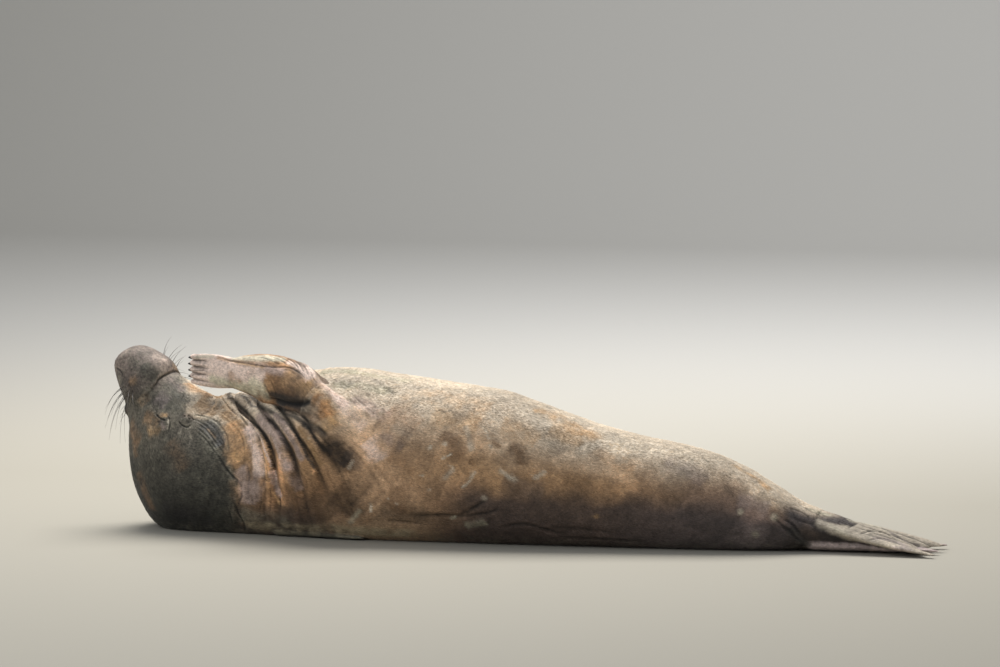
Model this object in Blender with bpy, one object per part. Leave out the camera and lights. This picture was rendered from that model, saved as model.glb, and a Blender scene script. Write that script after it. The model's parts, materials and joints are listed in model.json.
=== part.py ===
"""A young male elephant seal resting on its right side, life size, in metres.

The nose points up at the -X end, the hind flippers lie at the +X end, and the
belly faces -Y. The trunk, neck and head are one smooth skin made from rings
along the animal, parted into its regions by thin cuts.
"""
import math

import bmesh
import bpy
import numpy as np
from mathutils import Vector

# Gap kept between touching pieces
GAP = 0.0003
MERGE = 0.00001

# Head: the middle line runs from the nose tip down and back into the neck
NOSE_TIP = (-1.586, 0.752)
HEAD_LEAN = math.radians(26.0)
# Behind the nose tip, sideways offset of the middle, half height of the ring
HEAD_ROWS = (
    (0.000, -0.027, 0.001),
    (0.004, -0.027, 0.032),
    (0.013, -0.027, 0.056),
    (0.030, -0.026, 0.078),
    (0.068, -0.017, 0.100),
    (0.115, -0.005, 0.119),
    (0.172, 0.000, 0.129),
    (0.213, 0.008, 0.138),
    (0.250, 0.016, 0.151),
    (0.300, 0.018, 0.175),
    (0.352, 0.019, 0.202),
)
HEAD_DEPTH_RATIO = 1.02

# Neck and trunk: upper edge x, z, then lower edge x, z, then half depth
BODY_ROWS = (
    (-1.190, 0.521, -1.590, 0.265, 0.222),
    (-1.180, 0.526, -1.574, 0.180, 0.236),
    (-1.168, 0.531, -1.540, 0.095, 0.250),
    (-1.152, 0.536, -1.486, 0.020, 0.262),
    (-1.133, 0.540, -1.415, -0.025, 0.274),
    (-1.108, 0.543, -1.325, -0.040, 0.286),
    (-1.075, 0.544, -1.222, -0.045, 0.296),
    (-1.035, 0.546, -1.115, -0.045, 0.308),
    (-0.985, 0.560, -1.015, -0.045, 0.325),
    (-0.910, 0.612, -0.917, -0.045, 0.350),
    (-0.798, 0.664, -0.798, -0.045, 0.376),
    (-0.640, 0.676, -0.640, -0.045, 0.392),
    (-0.427, 0.656, -0.427, -0.045, 0.394),
    (-0.213, 0.634, -0.213, -0.042, 0.384),
    (0.000, 0.604, 0.000, -0.040, 0.366),
    (0.136, 0.563, 0.136, -0.036, 0.350),
    (0.256, 0.523, 0.256, -0.032, 0.334),
    (0.431, 0.470, 0.431, -0.028, 0.308),
    (0.597, 0.436, 0.597, -0.026, 0.284),
    (0.738, 0.412, 0.738, -0.024, 0.262),
    (0.879, 0.379, 0.879, -0.022, 0.238),
    (1.019, 0.325, 1.019, -0.018, 0.206),
    (1.110, 0.279, 1.110, -0.012, 0.180),
    (1.180, 0.240, 1.180, -0.006, 0.156),
    (1.240, 0.205, 1.240, 0.000, 0.134),
    (1.292, 0.180, 1.292, 0.006, 0.120),
    (1.343, 0.162, 1.343, 0.010, 0.112),
)
HEAD_MIDDLE_Y = -0.030
BODY_MIDDLE_Y = 0.000

# Where the regions part, as places in the list of rings
NOSE_CUT = 5.0
HEAD_CUT = 13.0
NECK_CUT = 17.0
SHOULDER_CUT = 22.8
CHEST_CUT = 24.6
BELLY_CUT = 28.0
ANKLE_CUT = float(len(HEAD_ROWS) + len(BODY_ROWS) - 1)

# How far the belly is turned from facing sideways, at the trunk and head
BODY_BELLY_ANGLE = math.radians(82.0)
HEAD_THROAT_ANGLE = math.radians(18.0)

# Mouth line on the right side: behind the nose tip, angle from the throat
MOUTH_LINE = (
    (0.170, 0.0),
    (0.172, 20.0),
    (0.178, 34.0),
    (0.190, 42.0),
    (0.202, 56.0),
    (0.210, 64.0),
    (0.225, 72.0),
    (0.250, 74.0),
    (0.280, 70.0),
    (0.320, 62.0),
)
MOUTH_GROOVE_DEPTH = 0.006
MOUTH_GROOVE_WIDTH = 0.022
MOUTH_CUT_RADIUS = 0.0055
MOUTH_CUT_STEPS = 20
JAW_STEP = 0.007
WHISKER_PAD = (0.178, 107.0)
WHISKER_PAD_RISE = 0.010
WHISKERS_PER_ROW = (2, 3, 3, 3, 2)
WHISKER_LENGTH = 0.105
WHISKER_ROOT = 0.0032

# Eye, ear and nostril: behind the nose tip, angle from the throat
EYE_PLACE = (0.238, 143.0)
EYE_RADIUS = 0.024
EAR_PLACE = (0.335, 128.0)
NOSTRIL_PLACE = (0.034, 146.0)

# Neck folds: ridges that lean with the bend and fade towards the ground
FOLD_START_X = -1.035
FOLD_LEAN = 2.76
FOLD_KNEE_Z = 0.33
FOLD_TOP_WIDTH = 0.055
FOLD_SPREAD = 0.127
FOLD_TOP_Z = 0.540
FOLD_VALLEYS = ((0.0, 0.042), (1.25, 0.034), (2.3, 0.034), (3.25, 0.030), (4.2, 0.018))
FOLD_SHARPNESS = 0.24
FOLD_LIFT = 0.045
FOLD_YAW = math.tan(math.radians(16.0))
FOLD_FACING = math.radians(55.0)
# How closely the facets follow the folds
FOLD_FOLLOW = 0.92

# Shoulder muscle under the raised flipper: middle x, z, rise, half width along and up
SHOULDER_MUSCLES = (
    (-0.745, 0.400, 0.040, 0.115, 0.170),
    (-0.610, 0.500, 0.036, 0.105, 0.120),
)

# Left foreflipper: middle x, y, z, half height, half thickness
ARM_ROWS = (
    (-0.620, -0.190, 0.370, 0.100, 0.090),
    (-0.665, -0.215, 0.450, 0.118, 0.104),
    (-0.712, -0.230, 0.528, 0.120, 0.104),
    (-0.768, -0.236, 0.597, 0.108, 0.096),
    (-0.840, -0.238, 0.640, 0.098, 0.082),
    (-0.920, -0.234, 0.660, 0.094, 0.066),
    (-1.005, -0.228, 0.667, 0.082, 0.052),
    (-1.085, -0.220, 0.670, 0.062, 0.040),
)
HAND_LENGTH = 0.190
HAND_HALF_WIDTH = 0.066
DIGIT_COUNT = 5
NAIL_LENGTH = 0.026

# Right foreflipper, folded back along the ground under the chest
LOW_FLIPPER_ROOT = (-0.90, -0.190, 0.026)
LOW_FLIPPER_LENGTH = 0.40
LOW_FLIPPER_ROOT_WIDTH = 0.055
LOW_FLIPPER_HALF_WIDTH = 0.070
LOW_FLIPPER_HALF_THICKNESS = 0.030

# Hind flippers and tail
ANKLE_X = 1.343
HIND_LENGTH = 0.525
HIND_ROOT_HALF_WIDTH = 0.092
HIND_HALF_WIDTH = 0.105
HIND_HALF_THICKNESS = 0.037
# Name, root y, root z, sideways splay, droop, how its power grows, roll
HIND_FLIPPERS = (
    ("left_hind_flipper", -0.008, 0.120, -0.05, 0.100, 0.95, 9.0),
    ("right_hind_flipper", -0.012, 0.041, 0.14, 0.024, 0.7, 0.0),
)
TAIL_LENGTH = 0.090
TAIL_ROOT = (0.096, 0.086)
TAIL_RADIUS = 0.017

# Facets around and along; the head's rings are closest at the mouth
HEAD_STEPS = ((5.8, 3), (7.4, 8), (10.0, 7), (HEAD_CUT, 5))
HEAD_SIDES = 46
TRUNK_SIDES = 38
FOLD_RINGS = 34


def clear_scene():
    """Remove what a new file starts with."""
    for item in list(bpy.data.objects):
        bpy.data.objects.remove(item, do_unlink=True)


def new_collection(name):
    """Make a collection in the scene."""
    group = bpy.data.collections.new(name)
    bpy.context.scene.collection.children.link(group)
    return group


def make_material(name, colour, roughness, metallic=0.0):
    """Give one plain finish."""
    material = bpy.data.materials.new(name)
    material.use_nodes = True
    shader = material.node_tree.nodes["Principled BSDF"]
    shader.inputs["Base Color"].default_value = (*colour, 1.0)
    shader.inputs["Roughness"].default_value = roughness
    shader.inputs["Metallic"].default_value = metallic
    return material


def smooth_step(low, high, value):
    """Rise from 0 to 1 between two values."""
    part = np.clip((value - low) / (high - low), 0.0, 1.0)
    return part * part * (3.0 - 2.0 * part)


def bump(value, centre, width):
    """A round hill of height 1."""
    return np.exp(-((value - centre) / width) ** 2)


def ring_table():
    """All rings as upper x, z, lower x, z, half depth, middle y."""
    back = np.array((math.sin(HEAD_LEAN), -math.cos(HEAD_LEAN)))
    side = np.array((math.cos(HEAD_LEAN), math.sin(HEAD_LEAN)))
    rows = []
    for behind, offset, half in HEAD_ROWS:
        middle = np.array(NOSE_TIP) + back * behind + side * offset
        upper = middle + side * half
        lower = middle - side * half
        rows.append((*upper, *lower, half * HEAD_DEPTH_RATIO, HEAD_MIDDLE_Y))
    for index, row in enumerate(BODY_ROWS):
        blend = smooth_step(0.0, 10.0, float(index))
        middle_y = HEAD_MIDDLE_Y + (BODY_MIDDLE_Y - HEAD_MIDDLE_Y) * blend
        rows.append((*row, float(middle_y)))
    return np.array(rows)


def spline(table, places):
    """Read a table at fractional rows along a Catmull-Rom curve."""
    places = np.asarray(places, dtype=float)
    last = len(table) - 1
    start = np.clip(np.floor(places).astype(int), 0, last - 1)
    part = (places - start)[..., None]
    before = table[np.maximum(start - 1, 0)]
    first = table[start]
    second = table[start + 1]
    after = table[np.minimum(start + 2, last)]
    return first + 0.5 * part * (
        second - before
        + part * (2.0 * before - 5.0 * first + 4.0 * second - after
                  + part * (3.0 * (first - second) + after - before))
    )


RINGS = ring_table()
HEAD_COUNT = len(HEAD_ROWS)
BEHIND = np.array([row[0] for row in HEAD_ROWS])


def behind_tip(place):
    """Distance behind the nose tip, extended past the head's last ring."""
    spacing = BEHIND[-1] - BEHIND[-2]
    extra = np.maximum(place - (HEAD_COUNT - 1), 0.0) * spacing
    return np.interp(place, np.arange(HEAD_COUNT), BEHIND) + extra


def belly_angle(place):
    """Ring angle of the middle of the throat or belly."""
    blend = smooth_step(HEAD_COUNT - 1.0, HEAD_COUNT + 9.0, place)
    return HEAD_THROAT_ANGLE + (BODY_BELLY_ANGLE - HEAD_THROAT_ANGLE) * blend


def line_distance(behind, angle, radius, line):
    """Distance over the skin from a line of places, given on the right side."""
    best = np.full(behind.shape, 9.0)
    for (u0, a0), (u1, a1) in zip(line[:-1], line[1:]):
        du = u1 - u0
        dv = math.radians(a1 - a0) * radius
        pu = behind - u0
        pv = (np.abs(angle) - math.radians(a0)) * radius
        along = np.clip((pu * du + pv * dv) / (du * du + dv * dv), 0.0, 1.0)
        gap = np.hypot(pu - along * du, pv - along * dv)
        best = np.minimum(best, gap)
    return best


def head_relief(behind, angle, radius):
    """Raise and sink the head's skin: mouth, jaw, whisker pads, brow."""
    raised = np.zeros_like(behind)
    degrees = np.degrees(np.abs(angle))
    groove = line_distance(behind, angle, radius, MOUTH_LINE)
    fade = 1.0 - smooth_step(0.27, 0.33, behind)
    raised -= MOUTH_GROOVE_DEPTH * np.exp(-(groove / MOUTH_GROOVE_WIDTH) ** 2) * fade
    lip_behind, lip_degrees = np.array(MOUTH_LINE).T
    lip = np.interp(behind, lip_behind, lip_degrees, left=-30.0)
    jaw = smooth_step(-3.0, 9.0, lip - degrees)
    raised -= JAW_STEP * jaw * (1.0 - smooth_step(0.24, 0.33, behind))
    pad_u, pad_angle = WHISKER_PAD
    raised += WHISKER_PAD_RISE * bump(behind, pad_u, 0.05) * bump(degrees, pad_angle, 26.0)
    eye_u, eye_angle = EYE_PLACE
    raised += 0.007 * bump(behind, eye_u, 0.035) * bump(degrees, eye_angle, 15.0)
    raised -= 0.012 * bump(behind, eye_u - 0.06, 0.03) * bump(degrees, 180.0, 45.0)
    return raised


def fold_count(x, y, z):
    """How many folds a point lies behind the first one."""
    lined_x = x + FOLD_YAW * y
    height = np.maximum(z - FOLD_KNEE_Z, 0.0)
    start = FOLD_START_X - FOLD_LEAN * height ** 2
    width = FOLD_TOP_WIDTH + FOLD_SPREAD * np.maximum(FOLD_TOP_Z - z, 0.0)
    return (lined_x - start) / width


def fold_side(angle):
    """1 on the bent side of the neck, where the folds lie, and 0 opposite."""
    return smooth_step(-0.35, 0.45, np.cos(angle - FOLD_FACING))


def fold_relief(x, y, z, angle, place):
    """Sink the valleys between the neck's folds on its bent side."""
    count = fold_count(x, y, z)
    sunk = np.zeros_like(x)
    for valley, depth in FOLD_VALLEYS:
        sunk += depth * bump(count, valley, FOLD_SHARPNESS)
    low = smooth_step(0.0, 0.32, z - FOLD_LIFT * np.maximum(count - 1.0, 0.0))
    return -sunk * fold_side(angle) * low * smooth_step(8.0, 10.0, place)


def muscle_relief(x, y, z):
    """Swell the near side where the raised flipper's muscle runs down the chest."""
    near = 1.0 - smooth_step(-0.15, 0.05, y)
    swelling = np.zeros_like(x)
    for middle_x, middle_z, rise, along, up in SHOULDER_MUSCLES:
        swelling += rise * bump(x, middle_x, along) * bump(z, middle_z, up)
    return swelling * near


def smooth_ring(place, angle):
    """A ring's centre, up direction and two reaches before any relief."""
    row = spline(RINGS, place)
    upper = row[..., 0:2]
    lower = row[..., 2:4]
    middle = 0.5 * (upper + lower)
    half_up = 0.5 * (upper - lower)
    half_height = np.linalg.norm(half_up, axis=-1)
    up = half_up / np.maximum(half_height, 1e-6)[..., None]
    c = np.cos(angle)
    s = np.sin(angle)
    power = 2.0 + 0.25 * smooth_step(HEAD_COUNT, HEAD_COUNT + 9.0, place)
    size = (np.abs(c) ** power + np.abs(s) ** power) ** (-1.0 / power)
    return middle, row[..., 5], up, half_height * size * c, row[..., 4] * size * s


def ring_point(middle, middle_y, up, rise, out):
    """Put one point of a ring in space."""
    return middle[..., 0] + up[..., 0] * rise, middle_y - out, middle[..., 1] + up[..., 1] * rise


def skin_point(place, angle):
    """Points of the skin for ring places and angles (0 up, 90 degrees near)."""
    place = np.asarray(place, dtype=float)
    angle = np.asarray(angle, dtype=float)
    middle, middle_y, up, rise, out = smooth_ring(place, angle)
    x, y, z = ring_point(middle, middle_y, up, rise, out)
    reach = np.maximum(np.hypot(rise, out), 0.01)
    behind = behind_tip(place)
    turn = angle - belly_angle(place)
    turn = (turn + math.pi) % (2.0 * math.pi) - math.pi
    raised = head_relief(behind, turn, np.maximum(reach, 0.02))
    raised *= (1.0 - smooth_step(0.33, 0.40, behind)) * smooth_step(0.0, 0.03, behind)
    raised += fold_relief(x, y, z, angle, place) + muscle_relief(x, y, z)
    grow = 1.0 + raised / reach
    x, y, z = ring_point(middle, middle_y, up, rise * grow, out * grow)
    return np.stack((x, y, np.maximum(z, 0.0)), axis=-1)


def fold_places(keys, angles):
    """Ring places that keep to the line of the folds all the way round."""
    samples = np.linspace(NECK_CUT, SHOULDER_CUT, 200)
    along = fold_count(*ring_point(*smooth_ring(keys, np.full_like(keys, FOLD_FACING))))
    follow = smooth_step(NECK_CUT, NECK_CUT + 1.2, keys)
    follow *= 1.0 - smooth_step(SHOULDER_CUT - 1.5, SHOULDER_CUT, keys)
    columns = []
    for angle in angles:
        counts = fold_count(*ring_point(*smooth_ring(samples, np.full_like(samples, angle))))
        aligned = np.interp(along, counts, samples)
        columns.append(keys + FOLD_FOLLOW * follow * fold_side(angle) * (aligned - keys))
    return np.stack(columns, axis=-1)


def ring_centre(place):
    """Middle of a ring."""
    row = spline(RINGS, place)
    return np.array((0.5 * (row[0] + row[2]), row[5], 0.5 * (row[1] + row[3])))


def head_place(behind, degrees):
    """Ring place and angle of a point given behind the tip and from the throat."""
    place = float(np.interp(behind, BEHIND, np.arange(HEAD_COUNT)))
    if behind > BEHIND[-1]:
        place += (behind - BEHIND[-1]) / (BEHIND[-1] - BEHIND[-2])
    return place, float(belly_angle(np.array(place))) + math.radians(degrees)


def head_frame(behind, degrees):
    """Point on the head with its outward, backward and sideways directions."""
    place, angle = head_place(behind, degrees)
    here = Vector(skin_point(place, angle))
    step_back = Vector(skin_point(place + 0.15, angle)) - here
    step_round = Vector(skin_point(place, angle + 0.08)) - here
    outward = step_round.cross(step_back).normalized()
    middle = Vector(ring_centre(place))
    if outward.dot(here - middle) < 0.0:
        outward = -outward
    return here, outward, step_back.normalized(), step_round.normalized()


def mesh_object(name, verts, faces, material, group):
    """Make an object from points and faces, with its faces pointing out."""
    mesh = bpy.data.meshes.new(name)
    mesh.from_pydata([tuple(v) for v in verts], [], faces)
    mesh.materials.append(material)
    body = bpy.data.objects.new(name, mesh)
    group.objects.link(body)
    tidy_mesh(body)
    return body


def tidy_mesh(body, merge=MERGE):
    """Merge doubles, keep the largest closed surface, and point it outwards."""
    mesh = bmesh.new()
    mesh.from_mesh(body.data)
    if merge > 0.0:
        bmesh.ops.remove_doubles(mesh, verts=mesh.verts, dist=merge)
    bmesh.ops.triangulate(mesh, faces=mesh.faces)
    keep_largest(mesh)
    bmesh.ops.recalc_face_normals(mesh, faces=mesh.faces)
    if mesh.calc_volume(signed=True) < 0.0:
        bmesh.ops.reverse_faces(mesh, faces=mesh.faces)
    closed = all(len(edge.link_faces) == 2 for edge in mesh.edges)
    mesh.to_mesh(body.data)
    mesh.free()
    body.data.shade_smooth()
    body.data.set_sharp_from_angle(angle=math.radians(50.0))
    return closed


def keep_largest(mesh):
    """Delete every closed surface but the largest."""
    mesh.faces.ensure_lookup_table()
    seen = set()
    shells = []
    for face in mesh.faces:
        if face in seen:
            continue
        shell = []
        stack = [face]
        seen.add(face)
        while stack:
            current = stack.pop()
            shell.append(current)
            for edge in current.edges:
                for other in edge.link_faces:
                    if other not in seen:
                        seen.add(other)
                        stack.append(other)
        shells.append(shell)
    shells.sort(key=lambda shell: sum(face.calc_area() for face in shell))
    extra = [face for shell in shells[:-1] for face in shell]
    if extra:
        bmesh.ops.delete(mesh, geom=extra, context="FACES")


def loft_faces(rows, sides):
    """Faces of a closed loft of rings, with a fan at each end."""
    faces = []
    for i in range(rows - 1):
        for j in range(sides):
            k = (j + 1) % sides
            faces.append((i * sides + j, i * sides + k, (i + 1) * sides + k, (i + 1) * sides + j))
    first = rows * sides
    for j in range(sides):
        k = (j + 1) % sides
        faces.append((first, k, j))
        faces.append((first + 1, (rows - 1) * sides + j, (rows - 1) * sides + k))
    return faces


def round_angles(sides):
    """Equal angles round a ring."""
    return np.linspace(0.0, 2.0 * math.pi, sides, endpoint=False)


def skin_piece(name, places, sides, material, group):
    """One region of the skin between its first and last ring, closed at both ends."""
    angles = round_angles(sides)
    places = np.asarray(places)
    if places.ndim == 1:
        places = np.repeat(places[:, None], sides, axis=1)
    rings = len(places)
    grid = skin_point(places, np.repeat(angles[None, :], rings, axis=0))
    for edge, inner in ((0, 1), (rings - 1, rings - 2)):
        if places[edge, 0] == 0.0:
            continue
        inward = grid[inner] - grid[edge]
        inward /= np.linalg.norm(inward, axis=-1)[:, None]
        middle = grid[inner].mean(axis=0) - grid[edge].mean(axis=0)
        middle /= np.linalg.norm(middle)
        facing = np.maximum(inward @ middle, 0.3)
        grid[edge] += inward * (0.5 * GAP / facing)[:, None]
        grid[edge][:, 2] = np.maximum(grid[edge][:, 2], 0.0)
    first = grid[0].mean(axis=0)
    last = grid[-1].mean(axis=0)
    verts = [*grid.reshape(-1, 3), first, last]
    return mesh_object(name, verts, loft_faces(rings, sides), material, group)


def tube(name, centres, ups, heights, thicks, sides, material, group):
    """A closed tube of ovals along a path, with rounded or flat ends."""
    centres = np.array(centres)
    rows = len(centres)
    verts = []
    for i in range(rows):
        ahead = centres[min(i + 1, rows - 1)] - centres[max(i - 1, 0)]
        ahead /= np.linalg.norm(ahead)
        up = ups[i] - ahead * np.dot(ups[i], ahead)
        up /= np.linalg.norm(up)
        side = np.cross(ahead, up)
        for j in range(sides):
            angle = 2.0 * math.pi * j / sides
            verts.append(centres[i] + up * heights[i] * math.cos(angle) + side * thicks[i] * math.sin(angle))
    verts.append(centres[0])
    verts.append(centres[-1])
    return mesh_object(name, verts, loft_faces(rows, sides), material, group)


def cut(target, cutters, kind="DIFFERENCE"):
    """Apply one Boolean with a collection of closed meshes, then drop them."""
    holder = bpy.data.collections.new(target.name + "_tools")
    for cutter in cutters:
        for owner in list(cutter.users_collection):
            owner.objects.unlink(cutter)
        holder.objects.link(cutter)
    bpy.context.scene.collection.children.link(holder)
    whole = target.data
    for solver in ("EXACT", "MANIFOLD"):
        target.data = whole.copy()
        change = target.modifiers.new("cut", "BOOLEAN")
        change.operation = kind
        change.solver = solver
        change.operand_type = "COLLECTION"
        change.collection = holder
        bpy.context.view_layer.update()
        depsgraph = bpy.context.evaluated_depsgraph_get()
        result = bpy.data.meshes.new_from_object(target.evaluated_get(depsgraph))
        target.modifiers.remove(change)
        target.data = result
        if tidy_mesh(target, 0.0):
            break
    for cutter in cutters:
        bpy.data.objects.remove(cutter, do_unlink=True)
    bpy.data.collections.remove(holder)


def grown_copy(body, amount, group):
    """A copy of a body with its skin moved outwards, to cut a clear seat."""
    twin = body.copy()
    twin.data = body.data.copy()
    twin.name = body.name + "_seat"
    group.objects.link(twin)
    mesh = bmesh.new()
    mesh.from_mesh(twin.data)
    moved = []
    for vert in mesh.verts:
        moved.append(vert.co + vert.normal * amount * vert.calc_shell_factor())
    for vert, place in zip(mesh.verts, moved):
        vert.co = place
    mesh.to_mesh(twin.data)
    mesh.free()
    hide_tool(twin)
    return twin


def hide_tool(item):
    """Mark a cutter as a guide."""
    item.hide_render = True
    item.display_type = "WIRE"


def ellipsoid(name, centre, radii, directions, material, group, segments=12, rings=7):
    """A ball stretched along three directions."""
    mesh = bmesh.new()
    bmesh.ops.create_uvsphere(mesh, u_segments=segments, v_segments=rings, radius=1.0)
    for vert in mesh.verts:
        local = vert.co.copy()
        place = Vector(centre)
        for amount, radius, direction in zip(local, radii, directions):
            place = place + Vector(direction) * (amount * radius)
        vert.co = place
    data = bpy.data.meshes.new(name)
    mesh.to_mesh(data)
    mesh.free()
    data.materials.append(material)
    body = bpy.data.objects.new(name, data)
    group.objects.link(body)
    tidy_mesh(body)
    return body


def taper(name, points, radii, sides, material, group):
    """A thin tapered spine along a few points, closed to its tip."""
    centres = np.array(points)
    ups = [np.array((0.31, 0.44, 0.84))] * len(centres)
    return tube(name, centres, ups, radii, radii, sides, material, group)


def mouth_tool(material, group):
    """A bent rod along the whole line of the mouth, to part the lips."""
    half = spline(np.array(MOUTH_LINE), np.linspace(0.0, len(MOUTH_LINE) - 1.0, MOUTH_CUT_STEPS))
    line = [(behind, -degrees) for behind, degrees in half[:0:-1]]
    line += [(behind, degrees) for behind, degrees in half]
    frames = [head_frame(behind, degrees) for behind, degrees in line]
    points = [tuple(frame[0]) for frame in frames]
    ups = [np.array(frame[1]) for frame in frames]
    fine = np.abs(np.linspace(-1.0, 1.0, len(line)))
    radii = MOUTH_CUT_RADIUS * (1.0 - 0.75 * fine ** 4)
    return tube("mouth", points, ups, radii, radii, 6, material, group)


def lid_tools(side, material, group):
    """Upper and lower lid as bent, tapered rolls around the eye."""
    here, outward, back, around = head_frame(EYE_PLACE[0], side * EYE_PLACE[1])
    around = around * side
    lids = []
    for name, sign, reach in (("upper", 1.0, 0.017), ("lower", -1.0, 0.014)):
        points = []
        radii = []
        for step in range(7):
            along = -1.0 + 2.0 * step / 6.0
            arch = math.cos(along * math.pi * 0.5)
            place = here + back * (along * EYE_RADIUS * 1.18)
            place = place + around * (sign * reach * arch)
            place = place + outward * (0.004 * arch - 0.003)
            points.append(tuple(place))
            radii.append(0.0035 + 0.0055 * arch)
        lids.append(taper(f"{name}_lid_{side}", points, radii, 8, material, group))
    return lids


def build_eye(side, material, group):
    """The eyeball, set back between its lids."""
    here, outward, back, around = head_frame(EYE_PLACE[0], side * EYE_PLACE[1])
    centre = here - outward * (EYE_RADIUS * 0.62)
    name = "right_eye" if side > 0 else "left_eye"
    return ellipsoid(name, centre, (EYE_RADIUS,) * 3, (back, around, outward), material, group)


def whisker_roots(side):
    """Places of the whiskers' roots in four rows of the pad."""
    roots = []
    for row, count in enumerate(WHISKERS_PER_ROW):
        for step in range(count):
            behind = WHISKER_PAD[0] - 0.030 + 0.021 * step + 0.006 * (row % 2)
            degrees = WHISKER_PAD[1] + 14.0 - 9.0 * row
            roots.append((behind, side * degrees, row, step))
    return roots


def whisker_tools(side, material, group):
    """Whiskers that stand out sideways and sweep back."""
    spines = []
    for behind, degrees, row, step in whisker_roots(side):
        here, outward, back, around = head_frame(behind, degrees)
        length = WHISKER_LENGTH * (0.72 + 0.14 * step + 0.05 * row)
        points = []
        radii = []
        for index in range(3):
            part = index / 2.0
            place = here - outward * 0.010
            place = place + outward * (length * part * (1.0 - 0.25 * part))
            place = place + back * (length * (0.15 * part + 0.62 * part * part))
            place = place - around * (side * 0.12 * length * part * (row - 1.5))
            points.append(tuple(place))
            radii.append(WHISKER_ROOT * (1.0 - 0.84 * part))
        spines.append(taper(f"whisker_{side}_{row}_{step}", points, radii, 3, material, group))
    return spines


def build_head(materials, group, tools):
    """Nose and head with nostrils, mouth line, lids, ear holes and whiskers."""
    nose = skin_piece("nose", np.linspace(0.0, NOSE_CUT, 13), HEAD_SIDES, materials["skin"], group)
    holes = []
    for side in (1.0, -1.0):
        here, outward, back, around = head_frame(NOSTRIL_PLACE[0], side * NOSTRIL_PLACE[1])
        slit = (back * 0.8 + around * side * 0.6).normalized()
        across = outward.cross(slit).normalized()
        holes.append(ellipsoid(f"nostril_{side}", here, (0.020, 0.007, 0.016),
                               (slit, across, outward), materials["skin"], tools, 12, 7))
    cut(nose, holes)

    places = [NOSE_CUT]
    for last, steps in HEAD_STEPS:
        places += list(np.linspace(places[-1], last, steps + 1)[1:])
    head = skin_piece("head", places, HEAD_SIDES, materials["skin"], group)
    growths = []
    for side in (1.0, -1.0):
        growths += lid_tools(side, materials["skin"], tools)
        growths += whisker_tools(side, materials["skin"], tools)
    cut(head, growths, "UNION")
    pits = [mouth_tool(materials["skin"], tools)]
    for side in (1.0, -1.0):
        eye = build_eye(side, materials["eye"], group)
        pits.append(grown_copy(eye, GAP, tools))
        here, outward, back, around = head_frame(EAR_PLACE[0], side * EAR_PLACE[1])
        pits.append(ellipsoid(f"ear_{side}", here, (0.006, 0.004, 0.012),
                              (back, around, outward), materials["skin"], tools, 8, 6))
    cut(head, pits)
    return nose, head


def build_trunk(materials, group):
    """Neck, shoulders with the neck's folds, chest, belly and hips."""
    skin = materials["skin"]
    neck = skin_piece("neck", np.linspace(HEAD_CUT, NECK_CUT, 9), TRUNK_SIDES, skin, group)
    keys = np.linspace(NECK_CUT, SHOULDER_CUT, FOLD_RINGS)
    folds = fold_places(keys, round_angles(TRUNK_SIDES))
    shoulders = skin_piece("shoulders", folds, TRUNK_SIDES, skin, group)
    chest = skin_piece("chest", np.linspace(SHOULDER_CUT, CHEST_CUT, 7), TRUNK_SIDES, skin, group)
    skin_piece("belly", np.linspace(CHEST_CUT, BELLY_CUT, 9), TRUNK_SIDES, skin, group)
    skin_piece("hips", np.linspace(BELLY_CUT, ANKLE_CUT, 16), TRUNK_SIDES, skin, group)
    return neck, shoulders, chest


def paddle(root, ahead, across, length, half_width, half_thickness, widen,
           long_edges, droop, rows, columns, droop_power=1.2, roll=0.0):
    """Points and faces of a flipper: oval root, raised digits, lobed end."""
    root = np.array(root)
    ahead = np.array(ahead) / np.linalg.norm(ahead)
    across = np.array(across) / np.linalg.norm(across)
    normal = np.cross(ahead, across)
    top = []
    bottom = []
    for i in range(rows + 1):
        u = i / rows
        for j in range(columns + 1):
            v = -1.0 + 2.0 * j / columns
            digit = 0.5 * (1.0 + math.cos(DIGIT_COUNT * math.pi * (v + 1.0) + math.pi))
            reach = 1.0 - long_edges * (1.0 - abs(v) ** 1.6) - 0.055 * (1.0 - digit)
            reach *= 1.0 - 0.16 * max(abs(v) - 0.8, 0.0) / 0.2
            width = half_width * (1.0 + (widen - 1.0) * math.sin(0.5 * math.pi * u) ** 1.3)
            along = length * u * (1.0 + (reach - 1.0) * u)
            round_edge = math.sqrt(max(1.0 - abs(v) ** 2.0, 0.0))
            round_tip = math.sqrt(max(1.0 - u ** 7, 0.0))
            ribs = 1.0 - 0.34 * (1.0 - digit) * math.sin(0.5 * math.pi * u)
            thick = half_thickness * (1.0 - 0.62 * u ** 0.8) * round_edge * round_tip * ribs
            lean = math.radians(roll) * math.sin(0.85 * math.pi * u)
            sideways = across * math.cos(lean) + normal * math.sin(lean)
            outward = normal * math.cos(lean) - across * math.sin(lean)
            middle = root + ahead * along + sideways * (v * width)
            middle = middle - np.array((0.0, 0.0, droop * u ** droop_power))
            top.append(middle + outward * thick)
            bottom.append(middle - outward * thick)
    verts = top + bottom
    count = len(top)
    stride = columns + 1
    faces = []
    for i in range(rows):
        for j in range(columns):
            a = i * stride + j
            b = a + 1
            c = a + stride + 1
            d = a + stride
            pair = ((a, b, c), (a, c, d))
            if i == rows - 1 and j == 0:
                pair = ((a, b, d), (b, c, d))
            for p, q, r in pair:
                faces.append((p, q, r))
                faces.append((count + p, count + r, count + q))
    faces.append([j for j in range(columns + 1)][::-1] + [count + j for j in range(1, columns)])
    return verts, faces


def settle(body):
    """Lay what would reach under the floor flat on it."""
    for vert in body.data.vertices:
        vert.co.z = max(vert.co.z, 0.0)
    tidy_mesh(body)


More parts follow.
